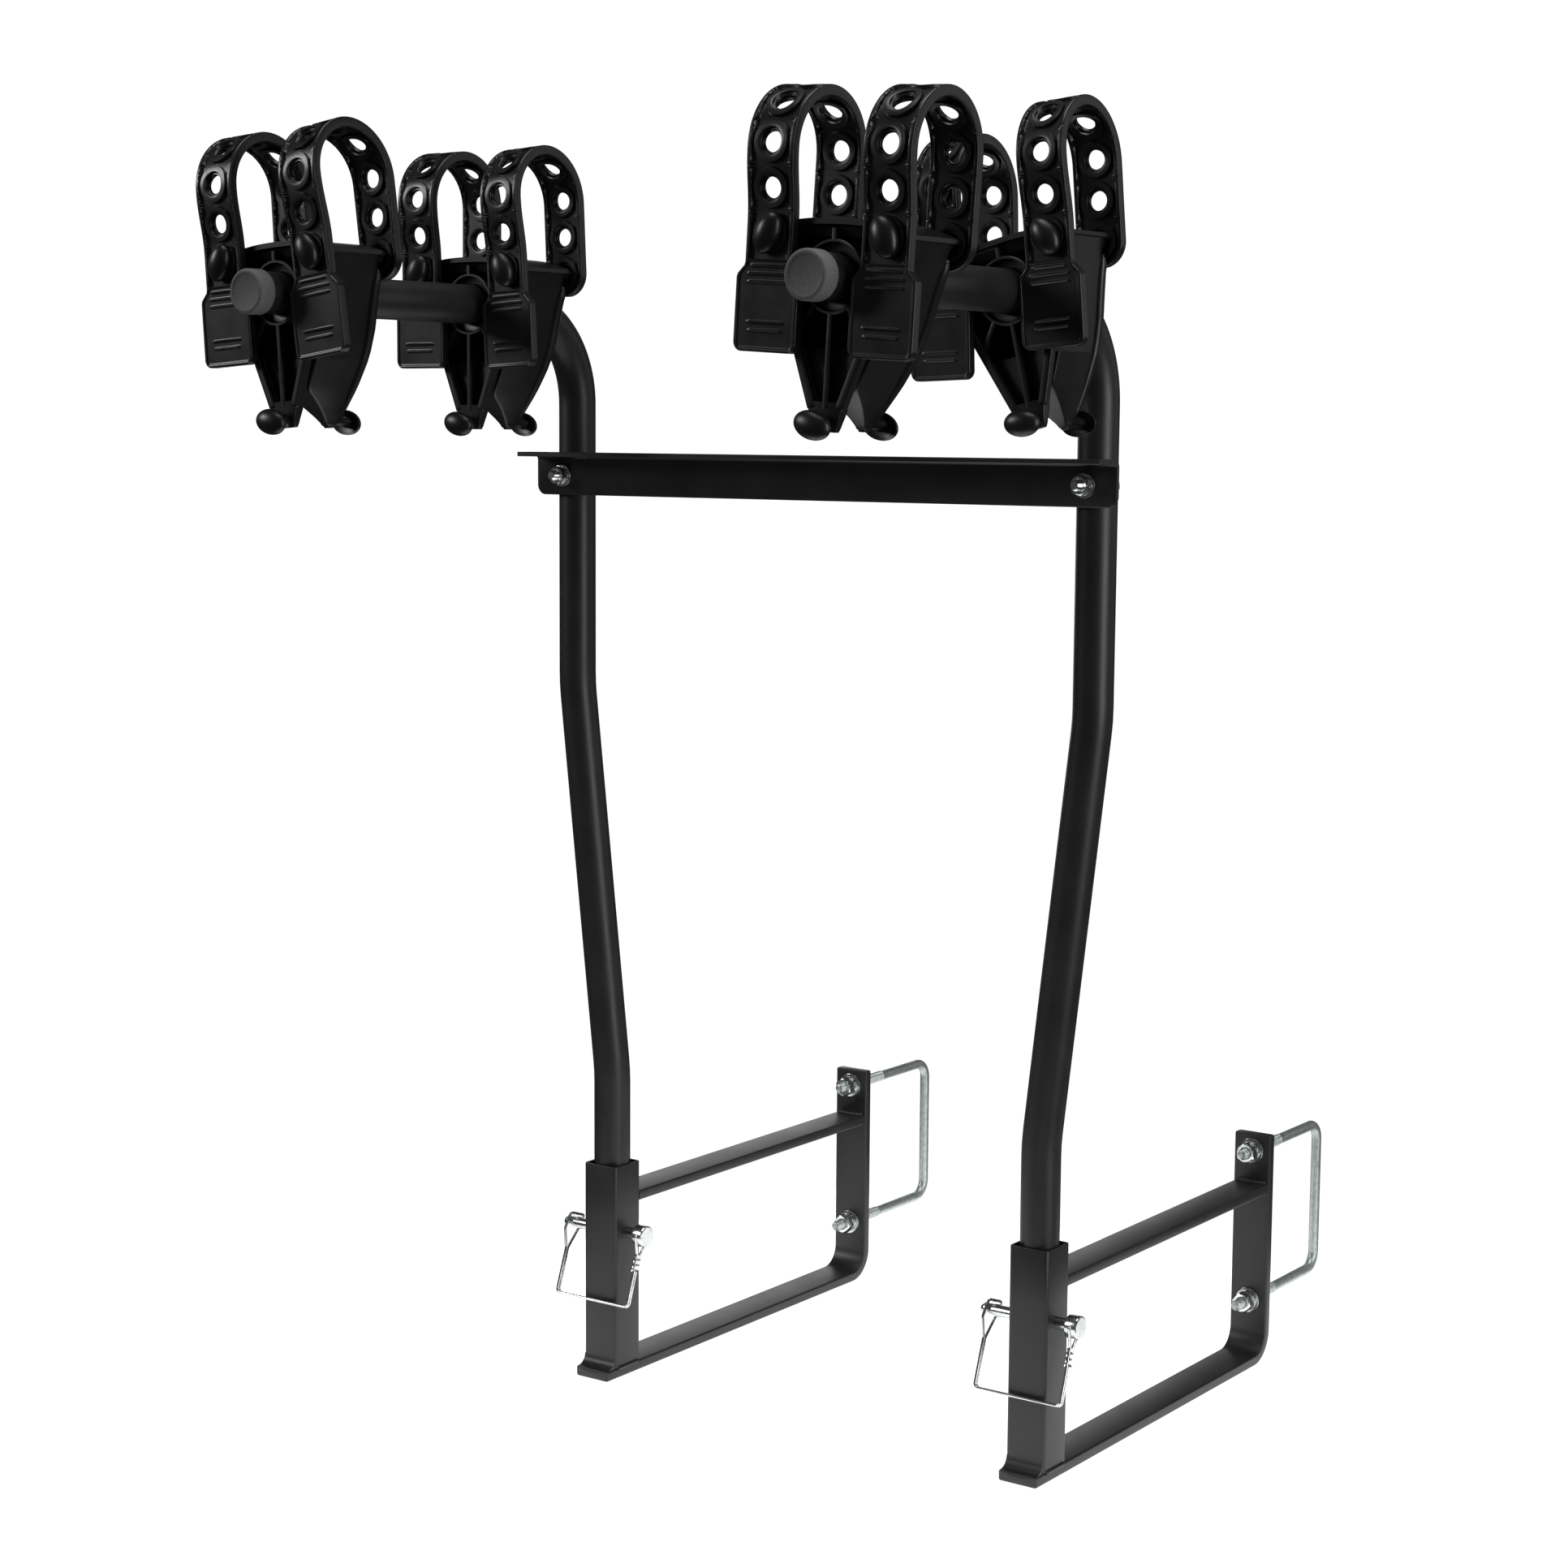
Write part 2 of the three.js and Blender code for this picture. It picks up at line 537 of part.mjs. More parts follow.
function strapBand() {
  const points = strapLine().getPoints(4);
  const middle = [new THREE.Vector2(strapFrontY, TAB_LOW_Z), ...points,
    new THREE.Vector2(strapBackY, STRAP_END_Z)];
  const spaced = middle.filter((p, i) => i === 0 || p.distanceTo(middle[i - 1]) > 0.5);
  const last = spaced.length - 1;
  const offset = (distance) => spaced.map((p, i) => {
    const along = spaced[Math.min(i + 1, last)].clone().sub(spaced[Math.max(i - 1, 0)]).normalize();
    return [p.x + distance * along.y, p.y - distance * along.x];
  });
  const inner = offset(STRAP_T / 2);
  const outer = offset(-STRAP_T / 2).reverse();
  const band = alongX(outline([...inner, ...outer]), -TAB_WIDTH / 2, TAB_WIDTH / 2);
  const w = STRAP_WIDTH / 2;
  const t = TAB_WIDTH / 2;
  const face = alongY(outline(mirrored([[w, 130], [w, 4], [t, -4], [t, -40], [t - 5, TAB_LOW_Z - 1]])), -30, 90);
  return common(band, face);
}

// Places of the strap's holes: evenly spaced along the middle line from knob to knob.
function strapHoles() {
  const line = strapLine();
  const straight = 6;
  const length = line.getLength();
  const pitch = (length + 2 * straight) / (STRAP_HOLES - 1);
  const holes = [];
  for (let i = 1; i < STRAP_HOLES - 1; i += 1) {
    const u = (i * pitch - straight) / length;
    const at = line.getPointAt(u);
    const along = line.getTangentAt(u);
    holes.push([at, new THREE.Vector2(along.y, -along.x)]);
  }
  holes.push([new THREE.Vector2(strapFrontY, KNOB_Z), new THREE.Vector2(1, 0)]);
  holes.push([new THREE.Vector2(strapBackY, KNOB_Z), new THREE.Vector2(1, 0)]);
  return holes.map(([at, n]) => rod(
    [0, at.x - 8 * n.x, at.y - 8 * n.y], [0, at.x + 8 * n.x, at.y + 8 * n.y], STRAP_HOLE_R, 8));
}

const strap = cut(strapBand(), ...strapHoles());

function cradle({ side, place, y, turn, leans }) {
  const name = `${side}_${place}`;
  const x = (side === 'left' ? -1 : 1) * TOP_SPACING / 2;
  const set = new THREE.Group();
  set.position.set(x, y, ARM_Z);
  set.rotation.y = THREE.MathUtils.degToRad(turn);
  set.add(piece(`${name}_cradle_body`, cradleBody(), 'moulded'));
  for (const [hand, sign, lean] of [['left', -1, leans[0]], ['right', 1, leans[1]]]) {
    const band = piece(`${name}_strap_${hand}`, strap.translate([0, 0, -KNOB_Z]), 'rubber');
    band.position.set(sign * KNOB_X, 0, KNOB_Z);
    band.rotation.y = THREE.MathUtils.degToRad(lean);
    set.add(band);
  }
  rack.add(set);
  rack.add(piece(`${name}_cradle_bush`, cradleBush().translate([x, y, ARM_Z]), 'moulded'));
}

// ---- assembly ----
rack.add(piece('crossbar', crossbar(), 'powder_coat'));
for (const [side, sign] of [['left', -1], ['right', 1]]) {
  const foot = sign * FOOT_SPACING / 2;
  const top = sign * TOP_SPACING / 2;
  rack.add(piece(`${side}_mast_tube`, mastTube(sign), 'powder_coat'));
  rack.add(piece(`${side}_arm_end_cap`, endCap(top), 'cap'));
  rack.add(piece(`${side}_socket_tube`, socketTube(foot), 'powder_coat'));
  rack.add(piece(`${side}_bumper_bar`, bumperBar(foot), 'powder_coat'));
  rack.add(piece(`${side}_brace_bar`, braceBar(foot), 'powder_coat'));
  rack.add(piece(`${side}_u_bolt`, uBolt(foot), 'zinc'));
  clampFasteners(side, foot);
  lockPinSet(side, foot);
  crossFasteners(side, top);
}
CRADLES.forEach(cradle);

// The finished group stands with the middle of its floor rectangle at the origin.
rack.updateMatrixWorld(true);
const extent = new THREE.Box3().setFromObject(rack, true);
rack.position.set(-(extent.min.x + extent.max.x) / 2, -(extent.min.y + extent.max.y) / 2, -extent.min.z);

export default rack;
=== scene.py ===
"""Bumper mounted bike rack: the visible pieces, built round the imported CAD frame.

Shapes are worked out in millimetres in the maker's frame: x = 0 midway between the masts, y = 0 on the
mast axes, z = 0 under the lower bars, arms towards -Y and bumper towards +Y.
"""
import math

import bpy
import numpy as np
from mathutils import Matrix, Vector

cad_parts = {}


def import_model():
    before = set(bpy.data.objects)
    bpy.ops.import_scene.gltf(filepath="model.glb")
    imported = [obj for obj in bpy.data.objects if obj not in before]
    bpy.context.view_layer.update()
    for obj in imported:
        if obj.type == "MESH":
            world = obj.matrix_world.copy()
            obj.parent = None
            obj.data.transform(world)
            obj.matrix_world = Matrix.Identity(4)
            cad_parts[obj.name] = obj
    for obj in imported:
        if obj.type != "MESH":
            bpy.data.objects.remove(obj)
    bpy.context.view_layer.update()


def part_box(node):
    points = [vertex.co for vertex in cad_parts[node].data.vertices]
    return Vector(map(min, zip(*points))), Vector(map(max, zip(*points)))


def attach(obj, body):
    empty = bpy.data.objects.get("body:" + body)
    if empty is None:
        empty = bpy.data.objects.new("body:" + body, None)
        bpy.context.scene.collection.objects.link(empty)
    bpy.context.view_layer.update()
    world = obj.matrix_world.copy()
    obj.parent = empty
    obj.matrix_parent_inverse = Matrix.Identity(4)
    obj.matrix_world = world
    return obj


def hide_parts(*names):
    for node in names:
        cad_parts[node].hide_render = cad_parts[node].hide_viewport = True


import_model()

# ---- driving sizes, in millimetres ----
TUBE_R, TUBE_WALL = 14.3, 1.6
TOP_X, FOOT_X = 232.0, 197.0
LOWER_BEND_Z, UPPER_BEND_Z = 246.0, 552.0
SMALL_BEND_R, ARM_BEND_R = 160.0, 72.0
ARM_Z, ARM_END_Y, MAST_FOOT_Z = 842.0, -350.0, 14.0
BAR_WIDTH, BAR_T = 32.0, 8.0
SOCKET_WALL, SOCKET_TOP_Z = 1.5, 172.0
FOOT_Y, PLATE_Y, PLATE_TOP_Z = -26.0, 338.0, 187.0
PLATE_BEND_R, BRACE_TOP_Z = 25.0, 147.0
U_ROD_R, U_THREAD_R = 4.1, 4.5
U_LOW_Z, U_HIGH_Z, U_REACH, U_CORNER_R = 48.5, 173.0, 113.0, 14.0
U_END_HIGH_Y, U_END_LOW_Y = 319.0, 315.0
THREAD_TO_HIGH_Y, THREAD_TO_LOW_Y = 385.0, 380.0
WASHER_R, WASHER_T, SPRING_WASHER_R, SPRING_WASHER_T = 10.3, 1.8, 8.0, 2.4
NUT_FLATS, NUT_T = 14.6, 8.0
SEATED = 0.2  # a washer or nut is drawn this much thicker, which nearly closes the gap to the next piece
THREAD_PITCH = 1.6
PIN_R, PIN_Z, PIN_HEAD_R = 4.75, 116.0, 8.6
PIN_HEAD_X, PIN_HEAD_T, PIN_TIP_X = 25.5, 10.0, -47.0
WIRE_R, BAIL_DROP, BAIL_LOOP_X = 1.15, 57.0, -41.0
FERRULE_TOP, FERRULE_LENGTH = 15.5, 13.0
CROSS_HALF, CROSS_LOW_Z, CROSS_TOP_Z = 257.0, 700.0, 733.0
CROSS_T, CROSS_FLANGE = 3.5, 28.0
CROSS_BOLT_Z, CROSS_BOLT_R, CROSS_THREAD = 715.0, 3.9, 22.0
CROSS_WASHER_T, CROSS_NUT_T = 1.6, 6.5
CAP_R, CAP_LENGTH = 15.5, 14.0
GAP = 0.3
SADDLE_Z, SADDLE_HALF, CRADLE_BACK = 31.0, 54.0, 59.9
KNOB_X, KNOB_Z = 42.0, 24.0
STRAP_WIDTH, STRAP_T, TAB_WIDTH = 34.0, 7.0, 46.0
SIDES = [("left", -1), ("right", 1)]

# Side, place, front face along the arm, turn about the arm, and the lean of the left and right strap
# about their own knobs, in degrees.
CRADLES = [("left", "outer", -325.0, -4.0, (0.0, -4.0)),
           ("left", "inner", -127.0, 0.0, (0.0, -3.0)),
           ("right", "outer", -325.0, 3.5, (0.0, 0.0)),
           ("right", "inner", -127.0, -14.0, (12.0, 9.0))]

# The maker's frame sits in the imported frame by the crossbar's middle and the sockets' axis.
cross_low, cross_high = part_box("crossbar")
socket_low, socket_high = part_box("left_socket_tube")
ORIGIN = np.array([500 * (cross_low.x + cross_high.x), 500 * (socket_low.y + socket_high.y), 0.0])
TAU = 2 * math.pi


# ---- curves and sections ----
def smooth(t):
    """Eases from 0 to 1: 3 t^2 - 2 t^3, held at the ends."""
    t = np.clip(t, 0, 1)
    return t * t * (3 - 2 * t)


def circle(radius, sides=32):
    """Points (r cos a, r sin a) at even angles."""
    a = np.arange(sides) * TAU / sides
    return np.stack([radius * np.cos(a), radius * np.sin(a)], 1)


def rounded_box(half_u, half_v, radius, steps=4):
    """A rectangle with corner arcs: each corner's centre plus radius times (cos a, sin a)."""
    corners = np.array([[1, 1], [-1, 1], [-1, -1], [1, -1]])
    a = np.arange(4)[:, None] * TAU / 4 + np.linspace(0, TAU / 4, steps + 1)[None]
    centre = corners * [half_u - radius, half_v - radius]
    return (centre[:, None] + radius * np.stack([np.cos(a), np.sin(a)], -1)).reshape(-1, 2)


def rounded_route(corners, radii, steps=10):
    """A polyline whose inner corners become arcs of the given radii, tangent to both sides."""
    corners = np.array(corners, float)
    parts = [corners[:1]]
    for before, at, after, radius in zip(corners, corners[1:], corners[2:], radii):
        back = (before - at) / np.linalg.norm(before - at)
        ahead = (after - at) / np.linalg.norm(after - at)
        half = math.acos(np.clip(back @ ahead, -1, 1)) / 2
        middle = (back + ahead) / np.linalg.norm(back + ahead)
        centre = at + middle * radius / math.sin(half)
        start = at + back * radius / math.tan(half) - centre
        end = at + ahead * radius / math.tan(half) - centre
        sweep = math.pi - 2 * half
        t = np.linspace(0, 1, max(3, int(steps * sweep / 1.6) + 2))[:, None]
        arc = (start * np.sin((1 - t) * sweep) + end * np.sin(t * sweep)) / math.sin(sweep)
        parts.append(centre + arc)
    parts.append(corners[-1:])
    return np.concatenate(parts)


def refine(route, spacing):
    """The same path with points no further apart than the spacing, and their distances along it."""
    length = np.r_[0, np.cumsum(np.linalg.norm(np.diff(route, axis=0), axis=1))]
    extra = np.linspace(0, length[-1], int(length[-1] / spacing) + 2)
    at = np.unique(np.round(np.r_[length, extra], 4))
    at = at[np.r_[True, np.diff(at) > 0.05 * spacing]]
    return np.stack([np.interp(at, length, route[:, k]) for k in range(3)], 1), at


def unit(rows):
    """Each row scaled to length 1."""
    return rows / np.linalg.norm(rows, axis=1)[:, None]


def thickened(line, width):
    """A flat line out along one side and back along the other: p + w n, then p - w n, n its normal."""
    along = unit(np.gradient(line, axis=0))
    across = np.stack([-along[:, 1], along[:, 0]], 1)
    return np.concatenate([line + across * width, (line - across * width)[::-1]])


def carried(route, section, across):
    """A section (or one section for each station) carried along a path: p + u side + v normal, where
    side is the across direction squared to the path."""
    along = unit(np.gradient(route, axis=0))
    across = np.array(across, float)
    side = unit(across - along * (along @ across)[:, None])
    normal = np.cross(along, side)
    section = np.broadcast_to(section, (len(route),) + section.shape[-2:])
    return route[:, None] + section[..., :1] * side[:, None] + section[..., 1:] * normal[:, None]


def ends_rounded(grid, radius, first=True, last=True, steps=3):
    """Adds rows at the ends that draw in by radius (1 - cos a) and step out by radius sin a - radius."""
    grid = np.asarray(grid, float)

    def rows(ring, inward):
        """The end ring redrawn at even angles of the rounding, away from the ring next to it."""
        out = ring.mean(0) - inward.mean(0)
        out /= np.linalg.norm(out)
        centre = ring.mean(0)
        reach = ring - centre
        size = np.linalg.norm(reach, axis=1)[:, None]
        made = []
        for a in np.linspace(0, math.pi / 2, steps + 1):
            inset = radius * (1 - math.cos(a))
            made.append(centre + reach * (1 - inset / size) + out * radius * (math.sin(a) - 1))
        return np.array(made)

    start = rows(grid[0], grid[1])[::-1] if first else grid[:1]
    end = rows(grid[-1], grid[-2]) if last else grid[-1:]
    return np.concatenate([start, grid[1:-1], end])


def turned(profile, axis, centre, sides=48):
    """A profile of (radius, distance) turned about an axis through the centre."""
    profile = np.array(profile, float)
    axis = np.array(axis, float)
    side = np.array([0.0, 0.0, 1.0]) if abs(axis[2]) < 0.9 else np.array([1.0, 0.0, 0.0])
    other = np.cross(axis, side)
    a = np.arange(sides) * TAU / sides
    ring = np.cos(a)[:, None] * side + np.sin(a)[:, None] * other
    return np.array(centre, float) + profile[:, 1, None, None] * axis + profile[:, 0, None, None] * ring


def arc(centre, radius, start, end, steps=5):
    """Points of an arc, angles in degrees, from (1, 0) towards (0, 1)."""
    a = np.radians(np.linspace(start, end, steps + 1))
    return [(centre[0] + radius * math.cos(t), centre[1] + radius * math.sin(t)) for t in a]


def mushroom(centre, half, dome, way, lean=0.0, sides=40):
    """An oval button: a hollowed back, a rolled rim and a dome of height dome * sqrt(1 - r^2), facing
    along way * Y and turned by lean about Y."""
    back = np.array([0.001, 0.3, 0.6, 0.8, 0.9, 0.96, 0.99])
    front = np.sin(np.linspace(math.pi / 2, 0.001, 16))
    rise = np.r_[1.6 * (1 - back ** 2) - 0.3 * (back > 0.85), 0.8 + (dome - 0.8) * np.sqrt(1 - front ** 2)]
    size = np.r_[back, front][:, None]
    a = (np.arange(sides) * TAU / sides)[None]
    x, z = half[0] * size * np.cos(a), half[1] * size * np.sin(a)
    y = way * rise[:, None] + 0 * x
    c, s = math.cos(lean), math.sin(lean)
    return np.stack([centre[0] + c * x + s * z, centre[1] + y, centre[2] - s * x + c * z], -1)


# ---- meshes ----
def quads(rows, columns, wrap_rows=False):
    """Corner numbers of the quads of a grid whose columns close on themselves."""
    i = np.arange(rows if wrap_rows else rows - 1)[:, None]
    j = np.arange(columns)[None]
    up, over = (i + 1) % rows, (j + 1) % columns
    corners = [i * columns + j, up * columns + j, up * columns + over, i * columns + over]
    return np.stack(np.broadcast_arrays(*corners), -1).reshape(-1, 4)


def ribbon_cap(columns):
    """Quads that close a section drawn as one side and back along the other."""
    k = np.arange(columns // 2 - 1)
    return np.stack([k, k + 1, columns - 2 - k, columns - 1 - k], 1)


def closed(grid, wrap=False, ribbon=False):
    """A closed surface from a grid of rings: capped at both ends, or joined end to start."""
    grid = np.asarray(grid, float)
    rows, columns = grid.shape[:2]
    points = grid.reshape(-1, 3)
    faces = [quads(rows, columns, wrap)]
    fans = np.zeros((0, 3), int)
    if not wrap and ribbon:
        cap = ribbon_cap(columns)
        faces += [cap, cap[:, ::-1] + (rows - 1) * columns]
    elif not wrap:
        centres = np.array([grid[0].mean(0), grid[-1].mean(0)])
        points = np.concatenate([points, centres])
        j = np.arange(columns)
        over = (j + 1) % columns
        last = (rows - 1) * columns
        first_fan = np.stack([j, over, np.full(columns, rows * columns)], 1)
        last_fan = np.stack([last + over, last + j, np.full(columns, rows * columns + 1)], 1)
        fans = np.concatenate([first_fan, last_fan])
    faces = np.concatenate(faces)
    a, b, c, d = (points[faces[:, k]] for k in range(4))
    volume = np.sum(a * np.cross(b, c)) + np.sum(a * np.cross(c, d))
    e, f, g = (points[fans[:, k]] for k in range(3))
    volume += np.sum(e * np.cross(f, g))
    if volume < 0:
        faces, fans = faces[:, ::-1], fans[:, ::-1]
    return points, faces, fans


def piece(name, surfaces, material, body, nodes, flat_angle=38):
    """One object from closed surfaces, its place in its mesh, smooth but for edges over the flat angle."""
    points, faces, fans, start = [], [], [], 0
    for p, q, t in surfaces:
        points.append(p)
        faces.append(q + start)
        fans.append(t + start)
        start += len(p)
    points, faces, fans = (np.concatenate(k) for k in (points, faces, fans))
    mesh = bpy.data.meshes.new(name)
    mesh.vertices.add(len(points))
    mesh.vertices.foreach_set("co", ((points + ORIGIN) / 1000).astype(np.float32).ravel())
    corners = np.r_[faces.ravel(), fans.ravel()]
    mesh.loops.add(len(corners))
    mesh.loops.foreach_set("vertex_index", corners.astype(np.int32))
    starts = np.r_[np.arange(len(faces)) * 4, len(faces) * 4 + np.arange(len(fans)) * 3]
    mesh.polygons.add(len(starts))
    mesh.polygons.foreach_set("loop_start", starts.astype(np.int32))
    mesh.update(calc_edges=True)
    mesh.shade_smooth()
    mesh.set_sharp_from_angle(angle=math.radians(flat_angle))
    mesh.materials.append(material)
    obj = bpy.data.objects.new(name, mesh)
    bpy.context.scene.collection.objects.link(obj)
    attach(obj, body)
    if nodes:
        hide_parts(*nodes)
    return obj


# ---- materials ----
def linear(code):
    """An sRGB hex colour as linear RGBA."""
    values = [int(code[k:k + 2], 16) / 255 for k in (0, 2, 4)]
    return [v / 12.92 if v < 0.04045 else ((v + 0.055) / 1.055) ** 2.4 for v in values] + [1.0]


def add(tree, kind, settings=None, **links):
    """Adds a node, sets its sockets or properties, and links its inputs from other nodes' outputs."""
    node = tree.nodes.new(kind)
    for key, value in (settings or {}).items():
        if key in node.inputs:
            node.inputs[key].default_value = value
        else:
            setattr(node, key, value)
    for key, output in links.items():
        tree.links.new(output, node.inputs[key.replace("_", " ")])
    return node


def start_material(name):
    """A material with its shader, its Object coordinates and nothing else."""
    material = bpy.data.materials.new(name)
    material.use_nodes = True
    tree = material.node_tree
    tree.nodes.clear()
    shader = add(tree, "ShaderNodeBsdfPrincipled")
    output = add(tree, "ShaderNodeOutputMaterial")
    tree.links.new(shader.outputs[0], output.inputs[0])
    where = add(tree, "ShaderNodeTexCoord").outputs["Object"]
    return material, tree, shader, where


def ramp(tree, factor, stops):
    """A colour ramp through (position, hex colour) stops."""
    node = add(tree, "ShaderNodeValToRGB", Fac=factor)
    marks = node.color_ramp.elements
    while len(marks) < len(stops):
        marks.new(0.5)
    for mark, (place, code) in zip(marks, stops):
        mark.position = place
        mark.color = linear(code)
    return node.outputs["Color"]


def spread(tree, factor, low, high):
    """Maps 0..1 to low..high."""
    node = add(tree, "ShaderNodeMapRange", {"To Min": low, "To Max": high}, Value=factor)
    return node.outputs["Result"]


def finish_material(tree, shader, colour, roughness, bumps, **values):
    """Links colour and roughness, stacks the bumps (height, depth in metres) and sets plain sockets."""
    tree.links.new(colour, shader.inputs["Base Color"])
    tree.links.new(roughness, shader.inputs["Roughness"])
    normal = None
    for height, depth in bumps:
        links = {"Height": height}
        if normal is not None:
            links["Normal"] = normal
        normal = add(tree, "ShaderNodeBump", {"Strength": 1.0, "Distance": depth}, **links).outputs[0]
    tree.links.new(normal, shader.inputs["Normal"])
    for key, value in values.items():
        shader.inputs[key.replace("_", " ")].default_value = value


def powder_coated_steel():
    """Baked polyester powder on steel: satin black, with a fine orange peel about 1.5 mm across and
    small differences in gloss where the coat is thicker."""
    material, tree, shader, where = start_material("powder_coated_steel")
    peel = add(tree, "ShaderNodeTexNoise", {"Scale": 650.0, "Detail": 2.0}, Vector=where)
    cloud = add(tree, "ShaderNodeTexNoise", {"Scale": 28.0, "Detail": 3.0}, Vector=where)
    colour = ramp(tree, cloud.outputs["Fac"], [(0.3, "1C1C1D"), (0.7, "232324")])
    rough = spread(tree, cloud.outputs["Fac"], 0.36, 0.47)
    finish_material(tree, shader, colour, rough, [(peel.outputs["Fac"], 0.00004)], Specular_IOR_Level=0.5)
    return material


def zinc_plated_rod():
    """Hot-rolled rod, bent and zinc plated in a barrel: a dull, pale grey with a soft mottled bloom."""
    material, tree, shader, where = start_material("dull_zinc_plated_rod")
    speckle = {"Scale": 260.0, "Detail": 5.0, "Roughness": 0.65}
    bloom = add(tree, "ShaderNodeTexNoise", speckle, Vector=where)
    patch = add(tree, "ShaderNodeTexNoise", {"Scale": 55.0, "Detail": 2.0}, Vector=where)
    colour = ramp(tree, bloom.outputs["Fac"], [(0.3, "9DA5A4"), (0.5, "B4BBBA"), (0.72, "C9CECD")])
    rough = spread(tree, patch.outputs["Fac"], 0.34, 0.56)
    finish_material(tree, shader, colour, rough, [(bloom.outputs["Fac"], 0.00005)], Metallic=0.85)
    return material


def bright_zinc():
    """Turned or drawn steel, bright zinc plated: clean silver with faint tool marks."""
    material, tree, shader, where = start_material("bright_zinc_plated_steel")
    marks = add(tree, "ShaderNodeTexNoise", {"Scale": 420.0, "Detail": 3.0}, Vector=where)
    tint = add(tree, "ShaderNodeTexNoise", {"Scale": 90.0, "Detail": 2.0}, Vector=where)
    colour = ramp(tree, tint.outputs["Fac"], [(0.3, "C6C9C9"), (0.7, "E2E4E4")])
    rough = spread(tree, marks.outputs["Fac"], 0.14, 0.27)
    finish_material(tree, shader, colour, rough, [(marks.outputs["Fac"], 0.000006)], Metallic=1.0)
    return material


def moulded_nylon():
    """Glass-filled nylon from a spark-eroded mould: black, semi-gloss, with a fine even texture."""
    material, tree, shader, where = start_material("moulded_nylon")
    grain = add(tree, "ShaderNodeTexNoise", {"Scale": 1100.0, "Detail": 2.0}, Vector=where)
    streaks = {"Scale": 35.0, "Detail": 2.0, "Distortion": 0.6}
    flow = add(tree, "ShaderNodeTexNoise", streaks, Vector=where)
    colour = ramp(tree, flow.outputs["Fac"], [(0.3, "101011"), (0.7, "161617")])
    rough = spread(tree, flow.outputs["Fac"], 0.30, 0.42)
    finish_material(tree, shader, colour, rough, [(grain.outputs["Fac"], 0.00003)], Specular_IOR_Level=0.45)
    return material


def moulded_rubber():
    """Compression-moulded thermoplastic rubber: black with a soft sheen and a faint bloom of dust."""
    material, tree, shader, where = start_material("moulded_rubber")
    grain = add(tree, "ShaderNodeTexNoise", {"Scale": 800.0, "Detail": 3.0}, Vector=where)
    bloom = add(tree, "ShaderNodeTexNoise", {"Scale": 60.0, "Detail": 4.0}, Vector=where)
    colour = ramp(tree, bloom.outputs["Fac"], [(0.3, "131314"), (0.7, "1B1B1C")])
    rough = spread(tree, bloom.outputs["Fac"], 0.24, 0.40)
    finish_material(tree, shader, colour, rough, [(grain.outputs["Fac"], 0.00003)], Specular_IOR_Level=0.5)
    return material


def dipped_vinyl():
    """Dip-moulded vinyl: matt dark grey, with the pebbled skin that dipping leaves, about 1 mm across."""
    material, tree, shader, where = start_material("dipped_vinyl")
    pebble = add(tree, "ShaderNodeTexNoise", {"Scale": 900.0, "Detail": 3.0}, Vector=where)
    colour = ramp(tree, pebble.outputs["Fac"], [(0.3, "58585A"), (0.7, "6F6F70")])
    rough = spread(tree, pebble.outputs["Fac"], 0.62, 0.8)
    finish_material(tree, shader, colour, rough, [(pebble.outputs["Fac"], 0.00012)])
    return material


POWDER = powder_coated_steel()
ROD = zinc_plated_rod()
BRIGHT = bright_zinc()
NYLON = moulded_nylon()
RUBBER = moulded_rubber()
VINYL = dipped_vinyl()


# ---- masts and caps ----
def mast(side, sign):
    """Outer circle carried down the bent route and the bore back up it, joined at both ends."""
    foot, top = sign * FOOT_X, sign * TOP_X
    corners = [[foot, 0, MAST_FOOT_Z], [foot, 0, LOWER_BEND_Z], [top, 0, UPPER_BEND_Z],
               [top, 0, ARM_Z], [top, ARM_END_Y, ARM_Z]]
    route = rounded_route(corners, [SMALL_BEND_R, SMALL_BEND_R, ARM_BEND_R], 26)
    route, _ = refine(route, 12)
    outer = carried(route, circle(TUBE_R, 48), (1, 0, 0))
    inner = carried(route, circle(TUBE_R - TUBE_WALL, 48), (1, 0, 0))
    grid = np.concatenate([outer, inner[::-1]])
    piece(f"{side}_bent_mast", [closed(grid, wrap=True)], POWDER, "frame", [f"{side}_mast_tube"])
    skin = 3.0
    face = ARM_END_Y - skin
    rim = face + CAP_LENGTH
    profile = [(0.001, face + 0.75), (11.4, face + 0.7), (11.9, face + 0.45), (12.3, face + 0.06)]
    profile += [(CAP_R - 2.2 + 2.2 * math.sin(a), face + 2.2 - 2.2 * math.cos(a))
                for a in np.linspace(0, math.pi / 2, 7)]
    profile += [(CAP_R, rim - 1), (CAP_R - 0.3, rim - 0.3), (CAP_R - 0.9, rim), (TUBE_R + 0.05, rim),
                (TUBE_R + 0.05, ARM_END_Y - GAP), (0.001, ARM_END_Y - GAP)]
    piece(f"{side}_vinyl_end_cap", [closed(turned(profile, (0, 1, 0), (top, 0, ARM_Z), 64))], VINYL,
          "frame", [f"{side}_arm_end_cap"], 50)


# ---- welded brackets ----
def weld_bead(route, across, radius=2.3):
    """A bead whose radius swells at each puddle: r (0.9 + 0.14 |sin|), one puddle every 4 mm."""
    route, at = refine(np.array(route, float), 0.9)
    swell = radius * (0.9 + 0.14 * np.abs(np.sin(at / 4 * math.pi)))
    return closed(ends_rounded(carried(route, circle(1.0, 12) * swell[:, None, None], across), 1.2))


